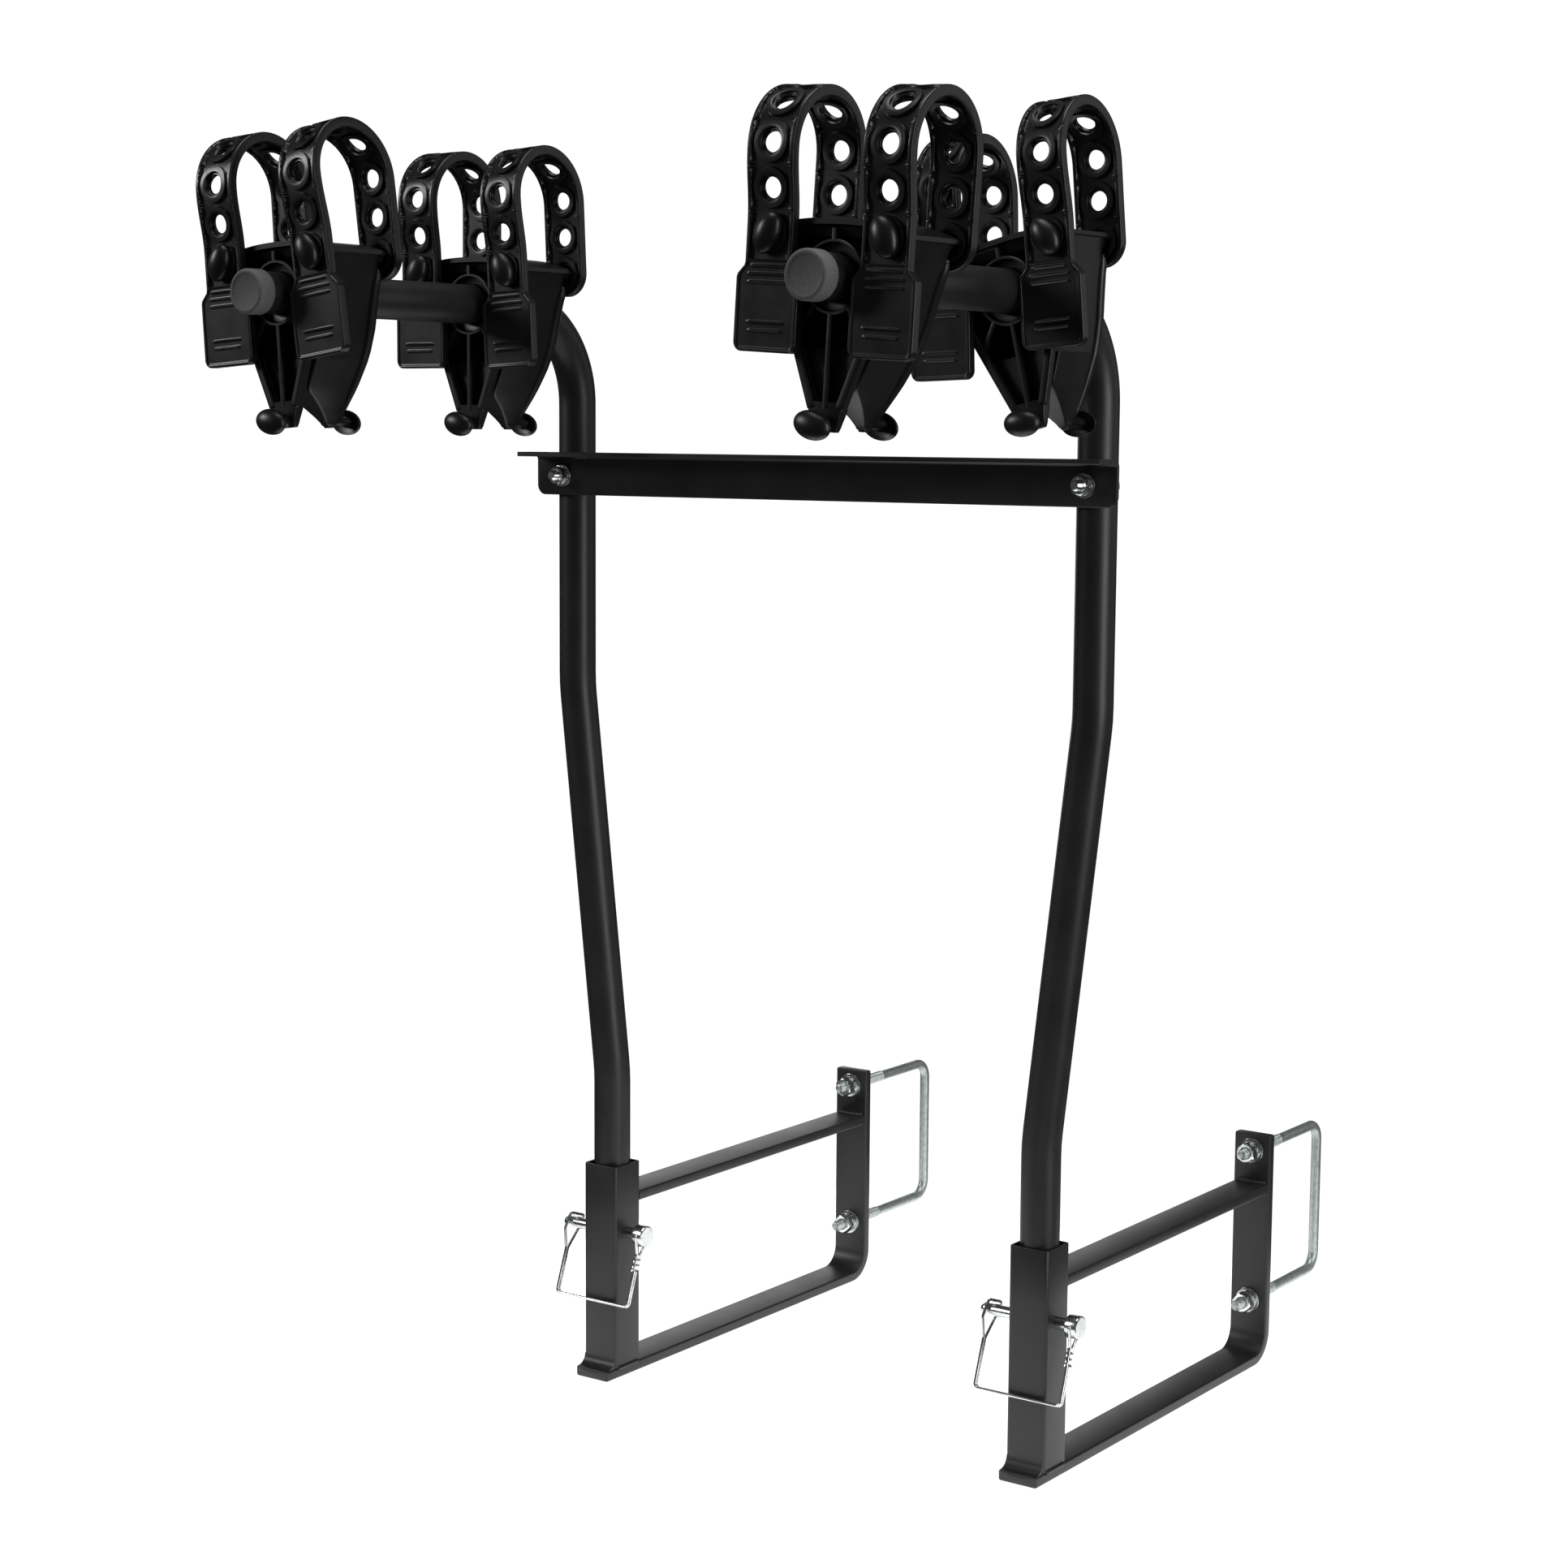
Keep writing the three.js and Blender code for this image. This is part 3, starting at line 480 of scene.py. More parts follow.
def bracket(side, sign):
    """The square socket, the bent bar and plate, and the brace, with their beads and the hollow fillet
    (a quarter circle of radius toe) at the foot of the socket's front."""
    x = sign * FOOT_X
    half = BAR_WIDTH / 2
    low, high = BAR_T + GAP, SOCKET_TOP_Z
    outer = rounded_box(half, half, 3.0, 6)
    inner = rounded_box(half - SOCKET_WALL, half - SOCKET_WALL, 1.6, 6)
    levels = [(low, outer, 1), (low + 40, outer, 1), (high - 40, outer, 1), (high - 0.5, outer, 1),
              (high - 0.14, outer, 0.992), (high, outer, 0.98), (high, inner, 1.01),
              (high - 0.3, inner, 1), (low, inner, 1)]
    grid = [np.c_[x + s * k[:, 0], s * k[:, 1], np.full(len(k), z)] for z, k, s in levels]
    piece(f"{side}_square_socket", [closed(grid, wrap=True)], POWDER, "frame", [f"{side}_socket_tube"])
    centre = BAR_T / 2
    back = PLATE_Y + centre
    corners = [[x, FOOT_Y, centre], [x, back, centre], [x, back, PLATE_TOP_Z]]
    route = rounded_route(corners, [PLATE_BEND_R - centre], 22)
    route, _ = refine(route, 15)
    bar = ends_rounded(carried(route, rounded_box(half, centre, 1.5), (1, 0, 0)), 1.5)
    piece(f"{side}_bent_bumper_bar", [closed(bar)], POWDER, "frame", [f"{side}_bumper_bar"])
    level = BRACE_TOP_Z - centre
    route = np.array([[x, half + GAP, level], [x, 120, level], [x, 240, level], [x, PLATE_Y - GAP, level]])
    brace = closed(carried(route, rounded_box(half - 1.2, centre, 1.4), (1, 0, 0)))
    piece(f"{side}_flat_brace", [brace], POWDER, "frame", [f"{side}_brace_bar"])
    inset = half - 3
    beads = []
    for wall in (x - half, x + half):
        beads.append(weld_bead([[wall, -inset, BAR_T], [wall, inset, BAR_T]], (0, 0, 1), 1.7))
    for y in (-half, half):
        beads.append(weld_bead([[x - inset, y, BAR_T], [x + inset, y, BAR_T]], (0, 0, 1), 2.6))
    for z in (BRACE_TOP_Z, BRACE_TOP_Z - BAR_T):
        for y in (half, PLATE_Y):
            beads.append(weld_bead([[x - inset, y, z], [x + inset, y, z]], (0, 0, 1), 2.2))
    toe = 8.4
    t = np.linspace(0, math.pi / 2, 9)
    hollow = np.stack([-half - toe * (1 - np.sin(t)), BAR_T + toe * (1 - np.cos(t))], 1)
    behind = np.stack([np.linspace(-half - 8.0, -half + 0.6, 9), BAR_T - 0.4 + 0 * t], 1)
    behind[5:] = np.stack([np.full(4, -half + 0.6), np.linspace(BAR_T, BAR_T + 8.2, 4)], 1)
    section = np.concatenate([hollow, behind[::-1]])
    rings = [np.c_[np.full(len(section), x + k), section] for k in np.linspace(1 - half, half - 1, 5)]
    beads.append(closed(rings, ribbon=True))
    piece(f"{side}_weld_beads", beads, POWDER, "frame", [])


# ---- threads, nuts, washers ----
def thread_radius(at, angle, outer, depth=0.5, pitch=THREAD_PITCH):
    """A screw thread: a triangle wave of the distance along plus one pitch for each turn."""
    phase = (at / pitch + angle / TAU) % 1
    return outer - depth * (1 - np.abs(2 * phase - 1)) ** 1.2


def threaded_rod(route, across, at_threads, thread_r, rod_r):
    """A rod carried along a route; where at_threads(distance) is 1 it is the wider screw thread."""
    coarse, at = refine(route, 4)
    total = at[-1]
    fine = np.arange(0, total, THREAD_PITCH / 6)
    dense = np.unique(np.r_[at, fine[at_threads(fine) > 0.01]])
    dense = dense[np.r_[True, np.diff(dense) > 0.02]]
    points = np.stack([np.interp(dense, at, coarse[:, k]) for k in range(3)], 1)
    angle = (np.arange(24) * TAU / 24)[None]
    share = at_threads(dense)[:, None]
    radius = share * thread_radius(dense[:, None], angle, thread_r) + (1 - share) * (rod_r + 0 * angle)
    end = np.minimum(dense, total - dense)[:, None]
    radius = np.minimum(radius, thread_r - 1.1 * np.clip(1 - end / 1.3, 0, 1))
    section = np.stack([radius * np.cos(angle), radius * np.sin(angle)], -1)
    return carried(points, section, across)


def hex_nut(x, y, z, flats, hole, thickness, turn=0.0, pitch=THREAD_PITCH):
    """A hexagon r = (flats / 2) / cos(angle from the flat), cut at both ends by a 30 degree cone, with
    a threaded hole."""
    angle = np.arange(72) * TAU / 72
    hexagon = flats / 2 / np.cos((angle + TAU / 12) % (TAU / 6) - TAU / 12)
    away = np.array([0, 0.25, 0.5, 0.8, 1.2, 1.7])
    depth = np.r_[away, thickness / 2, (thickness - away)[::-1]]
    edge = np.minimum(depth, thickness - depth)
    cone = flats / 2 - 0.35 + edge[:, None] / math.tan(math.radians(30))
    outer = np.minimum(hexagon[None], cone)
    inside = np.arange(0, thickness, pitch / 4)
    mouth = np.maximum(0, 0.7 - np.minimum(inside, thickness - inside))
    inner = hole + mouth[:, None] + 0.2 * np.sin(TAU * (inside[:, None] / pitch) + angle[None])
    radius = np.concatenate([outer, inner[::-1]])
    along = np.r_[depth, inside[::-1]]
    a = angle + turn
    grid = np.stack([x + radius * np.cos(a), y + along[:, None] + 0 * radius, z + radius * np.sin(a)], -1)
    return closed(grid, wrap=True)


def flat_washer(x, y, z, radius, hole, thickness):
    """A pressed disc: one edge rolled, the other sharp."""
    profile = [(hole, 0.2), (hole + 0.2, 0), (radius - 0.5, 0), (radius - 0.15, 0.15), (radius, 0.5),
               (radius, thickness - 0.1), (radius - 0.1, thickness), (hole + 0.1, thickness),
               (hole, thickness - 0.1)]
    return closed(turned(profile, (0, 1, 0), (x, y, z), 64), wrap=True)


def split_washer(x, y, z, radius, hole, thickness):
    """A square-section ring that stops short of a full turn, its ends sprung 0.2 mm apart."""
    a = np.linspace(math.radians(96), math.radians(444), 60)
    middle = (radius + hole) / 2
    spring = 0.2 * (a - a[0]) / (a[-1] - a[0]) - 0.1
    route = np.stack([x + middle * np.cos(a), y + thickness / 2 + spring, z + middle * np.sin(a)], -1)
    section = rounded_box((radius - hole) / 2, thickness / 2 - 0.1, 0.25, 2)
    radial = np.stack([np.cos(a), 0 * a, np.sin(a)], -1)
    grid = route[:, None] + section[:, :1] * radial[:, None] + section[:, 1:] * np.array([0, 1.0, 0])
    return closed(grid)


def u_bolt(side, sign):
    """The bent rod with threaded ends, and at each end a flat washer, a split washer and a nut."""
    x = sign * FOOT_X
    far = PLATE_Y + BAR_T + U_REACH
    corners = [[x, U_END_HIGH_Y, U_HIGH_Z], [x, far, U_HIGH_Z], [x, far, U_LOW_Z], [x, U_END_LOW_Y, U_LOW_Z]]
    route = rounded_route(corners, [U_CORNER_R, U_CORNER_R], 14)
    total = np.linalg.norm(np.diff(route, axis=0), axis=1).sum()
    high, low = THREAD_TO_HIGH_Y - U_END_HIGH_Y, THREAD_TO_LOW_Y - U_END_LOW_Y

    def threads(s):
        """1 along the two threaded ends and 0 along the plain rod between them."""
        return np.where((s < high) | (s > total - low), 1.0, 0.0)

    grid = threaded_rod(route, (1, 0, 0), threads, U_THREAD_R, U_ROD_R)
    piece(f"{side}_bent_u_bolt", [closed(grid)], ROD, "frame", [f"{side}_u_bolt"], 60)
    hole = U_THREAD_R + 0.25
    for level, z, turn in (("lower", U_LOW_Z, 0.35), ("upper", U_HIGH_Z, 0.1)):
        washer_y = PLATE_Y - GAP - WASHER_T
        spring_y = washer_y - GAP - SPRING_WASHER_T
        nut_y = spring_y - GAP - NUT_T
        flat = flat_washer(x, washer_y, z, WASHER_R, hole, WASHER_T + SEATED)
        spring = split_washer(x, spring_y, z, SPRING_WASHER_R, hole, SPRING_WASHER_T + SEATED)
        nut = hex_nut(x, nut_y, z, NUT_FLATS, U_THREAD_R - 0.1, NUT_T + SEATED, turn)
        made = [("flat_washer", flat), ("spring_washer", spring), ("clamp_nut", nut)]
        for part, surface in made:
            piece(f"{side}_{level}_bright_{part}", [surface], BRIGHT, "frame", [f"{side}_{level}_{part}"],
                  30)


# ---- wire lock pin ----
def in_pin_frame(grid, sign):
    """Turns a shape about the pin's axis by the bail's tilt and puts it at the socket."""
    tilt = math.asin((BAR_WIDTH / 2 + 2.95) / BAIL_DROP)
    c, s = math.cos(tilt), math.sin(tilt)
    x, y, z = grid[..., 0], grid[..., 1], grid[..., 2]
    return np.stack([x + sign * FOOT_X, c * y + s * z, PIN_Z - s * y + c * z], -1)


def lock_pin(side, sign):
    """A turned pin, a bail of one wire whose two strands close into a loop, and a crimped sleeve: a
    section |cos|^0.45, |sin|^0.45 with three crimps along it."""
    body = f"{side}_pin"
    head_end = PIN_HEAD_X + PIN_HEAD_T
    profile = [(0.001, PIN_TIP_X), (2.6, PIN_TIP_X), (3.2, PIN_TIP_X + 0.2), (PIN_R - 0.2, PIN_TIP_X + 2.4),
               (PIN_R, PIN_TIP_X + 3), (PIN_R, PIN_HEAD_X - 0.01), (PIN_HEAD_R - 1.0, PIN_HEAD_X),
               (PIN_HEAD_R - 0.3, PIN_HEAD_X + 0.3), (PIN_HEAD_R, PIN_HEAD_X + 1.0),
               (PIN_HEAD_R, head_end - 1.2), (PIN_HEAD_R - 0.4, head_end - 0.4), (PIN_HEAD_R - 1.2, head_end),
               (0.001, head_end)]
    grid = in_pin_frame(turned(profile, (1, 0, 0), (0, 0, 0), 56), sign)
    piece(f"{side}_turned_lock_pin", [closed(grid)], BRIGHT, body, [f"{side}_lock_pin"], 25)

    bail_x = PIN_HEAD_X + PIN_HEAD_T / 2
    strand = WIRE_R + 0.05
    eye = PIN_R + WIRE_R + 0.35
    split = -21.0
    front = [[bail_x, -2, 0.4], [bail_x, -PIN_HEAD_R - 0.4, -0.4], [bail_x, -strand, -16.5],
             [bail_x, -strand, -BAIL_DROP], [BAIL_LOOP_X, -strand, -BAIL_DROP],
             [BAIL_LOOP_X, -strand, split], [BAIL_LOOP_X - 1, -eye, -6], [BAIL_LOOP_X + 1.2, -eye, eye + 0.6]]
    back = [[p[0], -p[1], p[2]] for p in front[::-1]]
    back[0][0] += 4.5
    back[1][0] += 3.0
    radii = [1.6, 5, 3.2, 3.2, 5, 5, 2.2, 2.2, 5, 5, 3.2, 3.2, 5, 1.6]
    route, _ = refine(rounded_route(front + back, radii, 8), 2.5)
    tangent = unit(np.gradient(route, axis=0))
    side_way = [np.cross(tangent[0], [0.3, 0.2, 0.93])]
    for t in tangent[1:]:
        kept = side_way[-1] - t * (side_way[-1] @ t)
        side_way.append(kept / np.linalg.norm(kept))
    side_way = unit(np.array(side_way))
    other = np.cross(tangent, side_way)
    ring = circle(WIRE_R, 14)
    wire = route[:, None] + ring[:, :1] * side_way[:, None] + ring[:, 1:] * other[:, None]
    piece(f"{side}_wire_bail", [closed(in_pin_frame(wire, sign))], BRIGHT, body, [f"{side}_pin_bail"])

    down = np.linspace(0, FERRULE_LENGTH, 27)[:, None]
    z = -FERRULE_TOP - down
    a = (np.arange(32) * TAU / 32)[None]
    crimp = 0.35 * (np.sin(down / FERRULE_LENGTH * 3 * math.pi) ** 2)
    flare = 0.25 * np.exp(-(down / 0.8) ** 2) + 0.25 * np.exp(-((down - FERRULE_LENGTH) / 0.8) ** 2)
    wide = 3.5 + 0.5 * crimp + flare
    thick = 1.75 - crimp + flare
    power = 0.45
    y = wide * np.sign(np.cos(a)) * np.abs(np.cos(a)) ** power
    x = bail_x + thick * np.sign(np.sin(a)) * np.abs(np.sin(a)) ** power
    sleeve = np.stack(np.broadcast_arrays(x, y, z), -1)
    piece(f"{side}_crimped_ferrule", [closed(in_pin_frame(sleeve, sign))], BRIGHT, body,
          [f"{side}_bail_ferrule"])


# ---- crossbar ----
def crossbar():
    """The angle's section is a ribbon: leg up, bend radius 4, flange forward; its foot is trimmed at the
    ends by a 7 mm corner."""
    leg_y = -TUBE_R - GAP - CROSS_T / 2
    flange_y = -TUBE_R - GAP - CROSS_FLANGE
    top = CROSS_TOP_Z - CROSS_T / 2
    trim = 7.0
    ends = CROSS_HALF - trim * (1 - np.cos(np.linspace(0, math.pi / 2, 9)))
    stations = np.r_[-ends, np.linspace(-200, 200, 9), ends[::-1]]
    h = CROSS_T / 2
    bend = 4.0
    corner = arc((leg_y - bend, top - bend), bend, 0, 90, 8)
    grid = []
    for x in stations:
        over = max(0.0, abs(x) - (CROSS_HALF - trim))
        foot = CROSS_LOW_Z + trim - math.sqrt(trim ** 2 - over ** 2)
        leg = [(leg_y, foot), (leg_y, foot + 0.6)]
        line = np.array(leg + corner + [(flange_y + 0.6, top), (flange_y, top)])
        width = np.full((len(line), 1), h)
        width[[0, -1]] = h - 0.5
        both = thickened(line, width)
        grid.append(np.c_[np.full(len(both), x), both])
    piece("angle_crossbar", [closed(grid, ribbon=True)], POWDER, "frame", ["crossbar"], 50)

    def threads(s):
        """1 along the bolt's threaded end and 0 along its shank."""
        return np.where(s < CROSS_THREAD, 1.0, 0.0)

    for side, sign in SIDES:
        x, z = sign * TOP_X, CROSS_BOLT_Z
        front = -TUBE_R - GAP - CROSS_T
        washer_y = front - GAP - CROSS_WASHER_T
        nut_y = washer_y - GAP - CROSS_NUT_T
        tip, head_y = nut_y - 5.5, TUBE_R + GAP
        route = np.array([[x, tip, z], [x, (tip + head_y) / 2, z], [x, head_y + 1, z]])
        shank = threaded_rod(route, (1, 0, 0), threads, CROSS_BOLT_R, CROSS_BOLT_R - 0.2)
        head = hex_nut(x, head_y - 0.1, z, 13, 0.4, 5.3, 0.2)
        piece(f"{side}_bright_crossbar_bolt", [closed(shank), head], BRIGHT, "frame",
              [f"{side}_crossbar_bolt"], 30)
        washer = flat_washer(x, washer_y, z, 8.8, CROSS_BOLT_R + 0.3, CROSS_WASHER_T + 0.1)
        piece(f"{side}_bright_crossbar_washer", [washer], BRIGHT, "frame",
              [f"{side}_crossbar_washer"], 30)
        nut = hex_nut(x, nut_y, z, 12.7, CROSS_BOLT_R - 0.1, CROSS_NUT_T + 0.1, 0.26)
        piece(f"{side}_bright_crossbar_nut", [nut], BRIGHT, "frame",
              [f"{side}_crossbar_nut"], 30)


# ---- cradle: y = 0 at the ring's face, z = 0 on the arm's axis ----
def half_width(z):
    """Half the body's width: 54 at the saddle, 12.4 at z -78, 8.4 at the tip, in straight runs."""
    return np.interp(z, [-95, -78, SADDLE_Z], [7.6, 12.4, SADDLE_HALF])


def rear_half(z):
    """Half the rear leg's width: as the body's at z -46, in to a blade 6 mm wide at its tip."""
    return np.interp(z, [-92, -88, -78, -66, -46], [2.9, 3.7, 8.2, 14.4, float(half_width(-46))])


def back_face(z):
    """How far back the body reaches: a bow from 59.9 at the saddle, out to 64.6 and in to 49 at the tip."""
    return np.interp(z, [-92, -89, -84, -79, -66, -52, -39, -25, -10, 3, SADDLE_Z],
                     [49, 51.5, 56, 58.7, 61.4, 63.2, 64.6, 64.2, 61.8, 60.2, CRADLE_BACK])


def rear_front(z):
    """Front edge of the rear leg: a slit behind the front leg that curves back below it."""
    return np.interp(z, [-92, -89, -84, -78, -72, -69, -67, -64, -46],
                     [41, 39.5, 35.3, 29, 21, 16.5, 14, 12.3, 12])


def leg_ring(z, half, front, back, front_corner, back_corner, inset=0.0):
    """A level ring round a leg: an oblong with one corner radius in front and another behind."""
    half = half - inset
    front, back = front + inset, back - inset
    b = min(back_corner, half - 0.2, (back - front) / 2)
    f = min(front_corner, half - 0.2, (back - front) / 2)
    line = arc((half - b, back - b), b, 0, 90, 7) + arc((b - half, back - b), b, 90, 180, 7)
    line += arc((f - half, front + f), f, 180, 270, 4) + arc((half - f, front + f), f, 270, 360, 4)
    return np.c_[np.array(line), np.full(len(line), z)]


def channel(z, front, back, wall, corner, inset=0.0):
    """A U open to the front: up one side, round both back corners and down the other, wall thick."""
    half = float(half_width(z)) - wall / 2
    deep = back - wall / 2
    wall = wall - 2 * inset
    corner = min(corner, half - 0.5, deep - front - 0.5)
    right = [(half, front + 0.4), (half, front + 1.6)]
    right += arc((half - corner, deep - corner), corner, 0, 90, 8)
    line = np.array(right + [(-x, y) for x, y in right[::-1]])
    width = np.full((len(line), 1), wall / 2)
    width[[0, -1]] = wall / 2 - 0.4
    both = thickened(line, -width)
    return np.c_[both, np.full(len(both), z)]


def cradle_body_surfaces():
    """Saddle, U-shaped walls, two legs, ring, ribs, beads and knobs, each a closed surface. The walls
    part into the two legs at split; the legs start a little inside them."""
    made = []
    split = -46.0
    body_z = np.linspace(SADDLE_Z - 6, split, 20)
    made.append(closed([channel(z, 0.5, float(back_face(z)), 3.0, 11.0) for z in body_z], ribbon=True))
    hidden = [(split + 4, 0.6), (split + 0.02, 0.6)]
    levels = hidden + [(z, 0.0) for z in np.linspace(split, -79, 12)]
    front_leg = [channel(z, 0.5, 10.4, 3.0, 3.5, inset) for z, inset in levels]
    made.append(closed(front_leg, ribbon=True))
    levels = [(-74, 0.7), (-77.98, 0.7)] + [(z, 0.0) for z in np.linspace(-78, -92, 7)]
    tip = [leg_ring(z, float(half_width(z)), float(np.interp(z, [-92, -84], [2.6, 0.5])),
                    float(np.interp(z, [-92, -80], [8, 10.4])), 1.2, 3.5, inset) for z, inset in levels]
    made.append(closed(ends_rounded(tip, 1.2, first=False)))
    levels = hidden + [(z, 0.0) for z in np.linspace(split, -92, 28)]
    rear = [leg_ring(z, float(rear_half(z)), float(rear_front(z)), float(back_face(z)), 1.6, 11.0, inset)
            for z, inset in levels]
    made.append(closed(ends_rounded(rear, 1.4, first=False)))

    x = np.linspace(-SADDLE_HALF, SADDLE_HALF, 41)
    rows = []
    for y in np.r_[0.5, 0.8, 1.3, 2.0, 3.5, 6, 9, np.linspace(14, 50, 8), 54, 57, 58.9, 59.7]:
        drop = 3.0 * (1 - math.sqrt(max(0.0, 1 - (max(0.0, y - 52) / 8) ** 2)))
        reach = 1 - 0.11 * (1 - math.sqrt(max(0.0, 1 - (max(0.0, y - 48.5) / 11.5) ** 2)))
        ease = 0.9 * (1 - math.sqrt(max(0.0, 1 - (max(0.0, 2 - y) / 2) ** 2)))
        crown = 34.6 - 8.4 * np.abs(x / SADDLE_HALF) ** 2.6 - drop - ease
        under = crown - 4.0 + 2 * ease - 8.0 * float(smooth((y - 3.0) / 2.0))
        under = np.minimum(np.maximum(under, np.where(y > 5, SADDLE_Z - 7.5, 0)), crown - 1.0)
        loop = np.concatenate([np.stack([x * reach, crown], 1), np.stack([x * reach, under], 1)[::-1]])
        rows.append(np.c_[loop[:, 0], np.full(len(loop), y), loop[:, 1]])
    made.append(closed(rows, ribbon=True))

    ring = [(20.3, 0.4), (20.7, 0), (22.0, 0), (22.4, 0.4), (22.4, 56), (20.05, 56), (20.05, 6), (20.3, 5.8)]
    made.append(closed(turned([(r, d + 0.5) for r, d in ring], (0, 1, 0), (0, 0, 0), 72), wrap=True))

    def rib(angle, start, end, front=0.6, width=3.6):
        """A flat rib that stands out from the ring at an angle from straight down."""
        down = np.array([math.sin(angle), 0, -math.cos(angle)])
        side = np.array([math.cos(angle), 0, math.sin(angle)])
        section = rounded_box(width / 2, (50 - front) / 2, 0.5, 2)
        flat = section[:, :1] * side + (section[:, 1:] + (50 + front) / 2) * np.array([0, 1.0, 0])
        return closed(np.array([down * r + flat for r in (start, (start + end) / 2, end)]))

    made.append(rib(0, 21.5, 60))
    section = rounded_box(1.8, 5.0, 0.5, 2)
    made.append(closed(np.array([np.c_[section[:, 0], section[:, 1] + 5.6, np.full(len(section), -r)]
                                 for r in (59.9, 68, 80)])))
    made.append(rib(math.radians(36), 21.5, 40.5))
    made.append(rib(math.radians(-36), 21.5, 40.5))
    made.append(rib(math.pi, 21.5, 28.5))

    for sign in (-1, 1):
        z = np.linspace(22, -78, 36)
        rim = np.stack([sign * (half_width(z) - 2.4), np.full_like(z, 2.4), z], 1)
        flange = rounded_box(2.8, 1.9, 0.9, 3)
        made.append(closed(ends_rounded(carried(rim, flange, (1, 0, 0)), 0.8)))
        z = np.linspace(15, -86, 44)
        swell = np.interp(z, [-86, -78, -60, -20, 8, 15], [1.6, 2.6, 3.8, 4.3, 4.0, 2.4])
        wide = np.where(z < -46, rear_half(z), half_width(z))
        bead = np.stack([sign * np.maximum(wide - 2.2, 0.8), back_face(z) - 5.0, z], 1)
        roll = carried(bead, circle(1, 16) * swell[:, None, None], (1, 0, 0))
        made.append(closed(ends_rounded(roll, 2.2)))
        for y, way in ((0.0, -1), (CRADLE_BACK, 1)):
            post = [(0.001, -3), (4.8, -3), (4.8, 8), (5.6, 9.5), (0.001, 9.6)]
            made.append(closed(turned(post, (0, way, 0), (sign * KNOB_X, y, KNOB_Z), 28)))
            place = (sign * KNOB_X, y + way * 8.2, KNOB_Z)
            made.append(closed(mushroom(place, (8.9, 13.3), 7.6, way, -sign * math.radians(23))))
    for y, way, stem in ((3.0, -1, 5.0), (48.0, 1, 3.6)):
        post = [(0.001, -1), (stem, -1), (stem, 4), (stem, 12), (5.4, 15.5), (0.001, 15.6)]
        made.append(closed(turned(post, (0, way, 0), (0, y, -87), 28)))
        made.append(closed(mushroom((0, y + way * 13.2, -88), (13.2, 8.8), 7.4, way, math.radians(12))))
    return made


# ---- straps ----
STRAP_MID_Y = 28.0
STRAP_FRONT_Y = -STRAP_T / 2 - GAP
STRAP_BACK_Y = CRADLE_BACK + GAP + STRAP_T / 2
ARCH_R, ARCH_Z = 36.0, 75.0
STRAIGHT_Z, FRONT_END_Z, BACK_END_Z = 30.0, -60.0, -20.0
HOLE_R, MOUTH_R, BOSS_R, STRAP_HOLES = 6.4, 8.1, 12.5, 9
WEB_DEPTH, RIM_WIDTH = 2.2, 3.5
TAB_TOP, TAB_LOW = 8.5, -47.0


def bezier(p0, p1, p2, p3, steps):
    """A cubic curve: the Bernstein sum of its four points."""
    t = np.linspace(0, 1, steps + 1)[:, None]
    p0, p1, p2, p3 = (np.array(p, float) for p in (p0, p1, p2, p3))
    return (1 - t) ** 3 * p0 + 3 * t * (1 - t) ** 2 * p1 + 3 * t ** 2 * (1 - t) * p2 + t ** 3 * p3


def strap_path():
    """The strap's middle line in (y, z), by distance: up the front, round the arch, down the back."""
    left, right = STRAP_MID_Y - ARCH_R, STRAP_MID_Y + ARCH_R
    up = bezier((STRAP_FRONT_Y, STRAIGHT_Z), (STRAP_FRONT_Y, 48), (left, 58), (left, ARCH_Z), 24)
    arch = np.array(arc((STRAP_MID_Y, ARCH_Z), ARCH_R, 180, 0, 60))
    down = bezier((right, ARCH_Z), (right, 58), (STRAP_BACK_Y, 48), (STRAP_BACK_Y, STRAIGHT_Z), 24)
    front_end, back_end = (STRAP_FRONT_Y, FRONT_END_Z), (STRAP_BACK_Y, BACK_END_Z)
    line = np.concatenate([[front_end], up, arch[1:], down[1:], [back_end]])
    at = np.r_[0, np.cumsum(np.linalg.norm(np.diff(line, axis=0), axis=1))]
    return line, at


PATH, PATH_AT = strap_path()
FRONT_AT = float(np.interp(KNOB_Z, PATH[:2, 1], PATH_AT[:2]))
BACK_AT = float(PATH_AT[-1] - (KNOB_Z - BACK_END_Z))
PITCH = (BACK_AT - FRONT_AT) / (STRAP_HOLES - 1)


def on_strap(s, w, h):
    """Puts (distance along, across, height over the middle line) on the bent strap."""
    y, z = np.interp(s, PATH_AT, PATH[:, 0]), np.interp(s, PATH_AT, PATH[:, 1])
    step = 1.5
    ty = np.interp(s + step, PATH_AT, PATH[:, 0]) - np.interp(s - step, PATH_AT, PATH[:, 0])
    tz = np.interp(s + step, PATH_AT, PATH[:, 1]) - np.interp(s - step, PATH_AT, PATH[:, 1])
    size = np.hypot(ty, tz)
    return np.stack([w, y - h * tz / size, z + h * ty / size], -1)


def strap_height(edge, hole):
    """Half thickness from the distance to the outline and to the hole's centre: a rim along the outline
    and a ring round each hole stand WEB_DEPTH over the web, and a ledge is left inside the ring."""
    rim = smooth((RIM_WIDTH - edge) / 0.7)
    ring = smooth((BOSS_R - hole) / 0.6)
    height = STRAP_T / 2 - WEB_DEPTH + WEB_DEPTH * np.maximum(rim, ring)
    height = height - 2.0 * (1 - smooth((hole - MOUTH_R + 0.4) / 0.6))
    height = height - 0.5 * (1 - smooth((hole - HOLE_R) / 0.3))
    return height - 0.8 * (1 - np.sqrt(1 - np.clip(1 - edge / 0.9, 0, 1) ** 2))


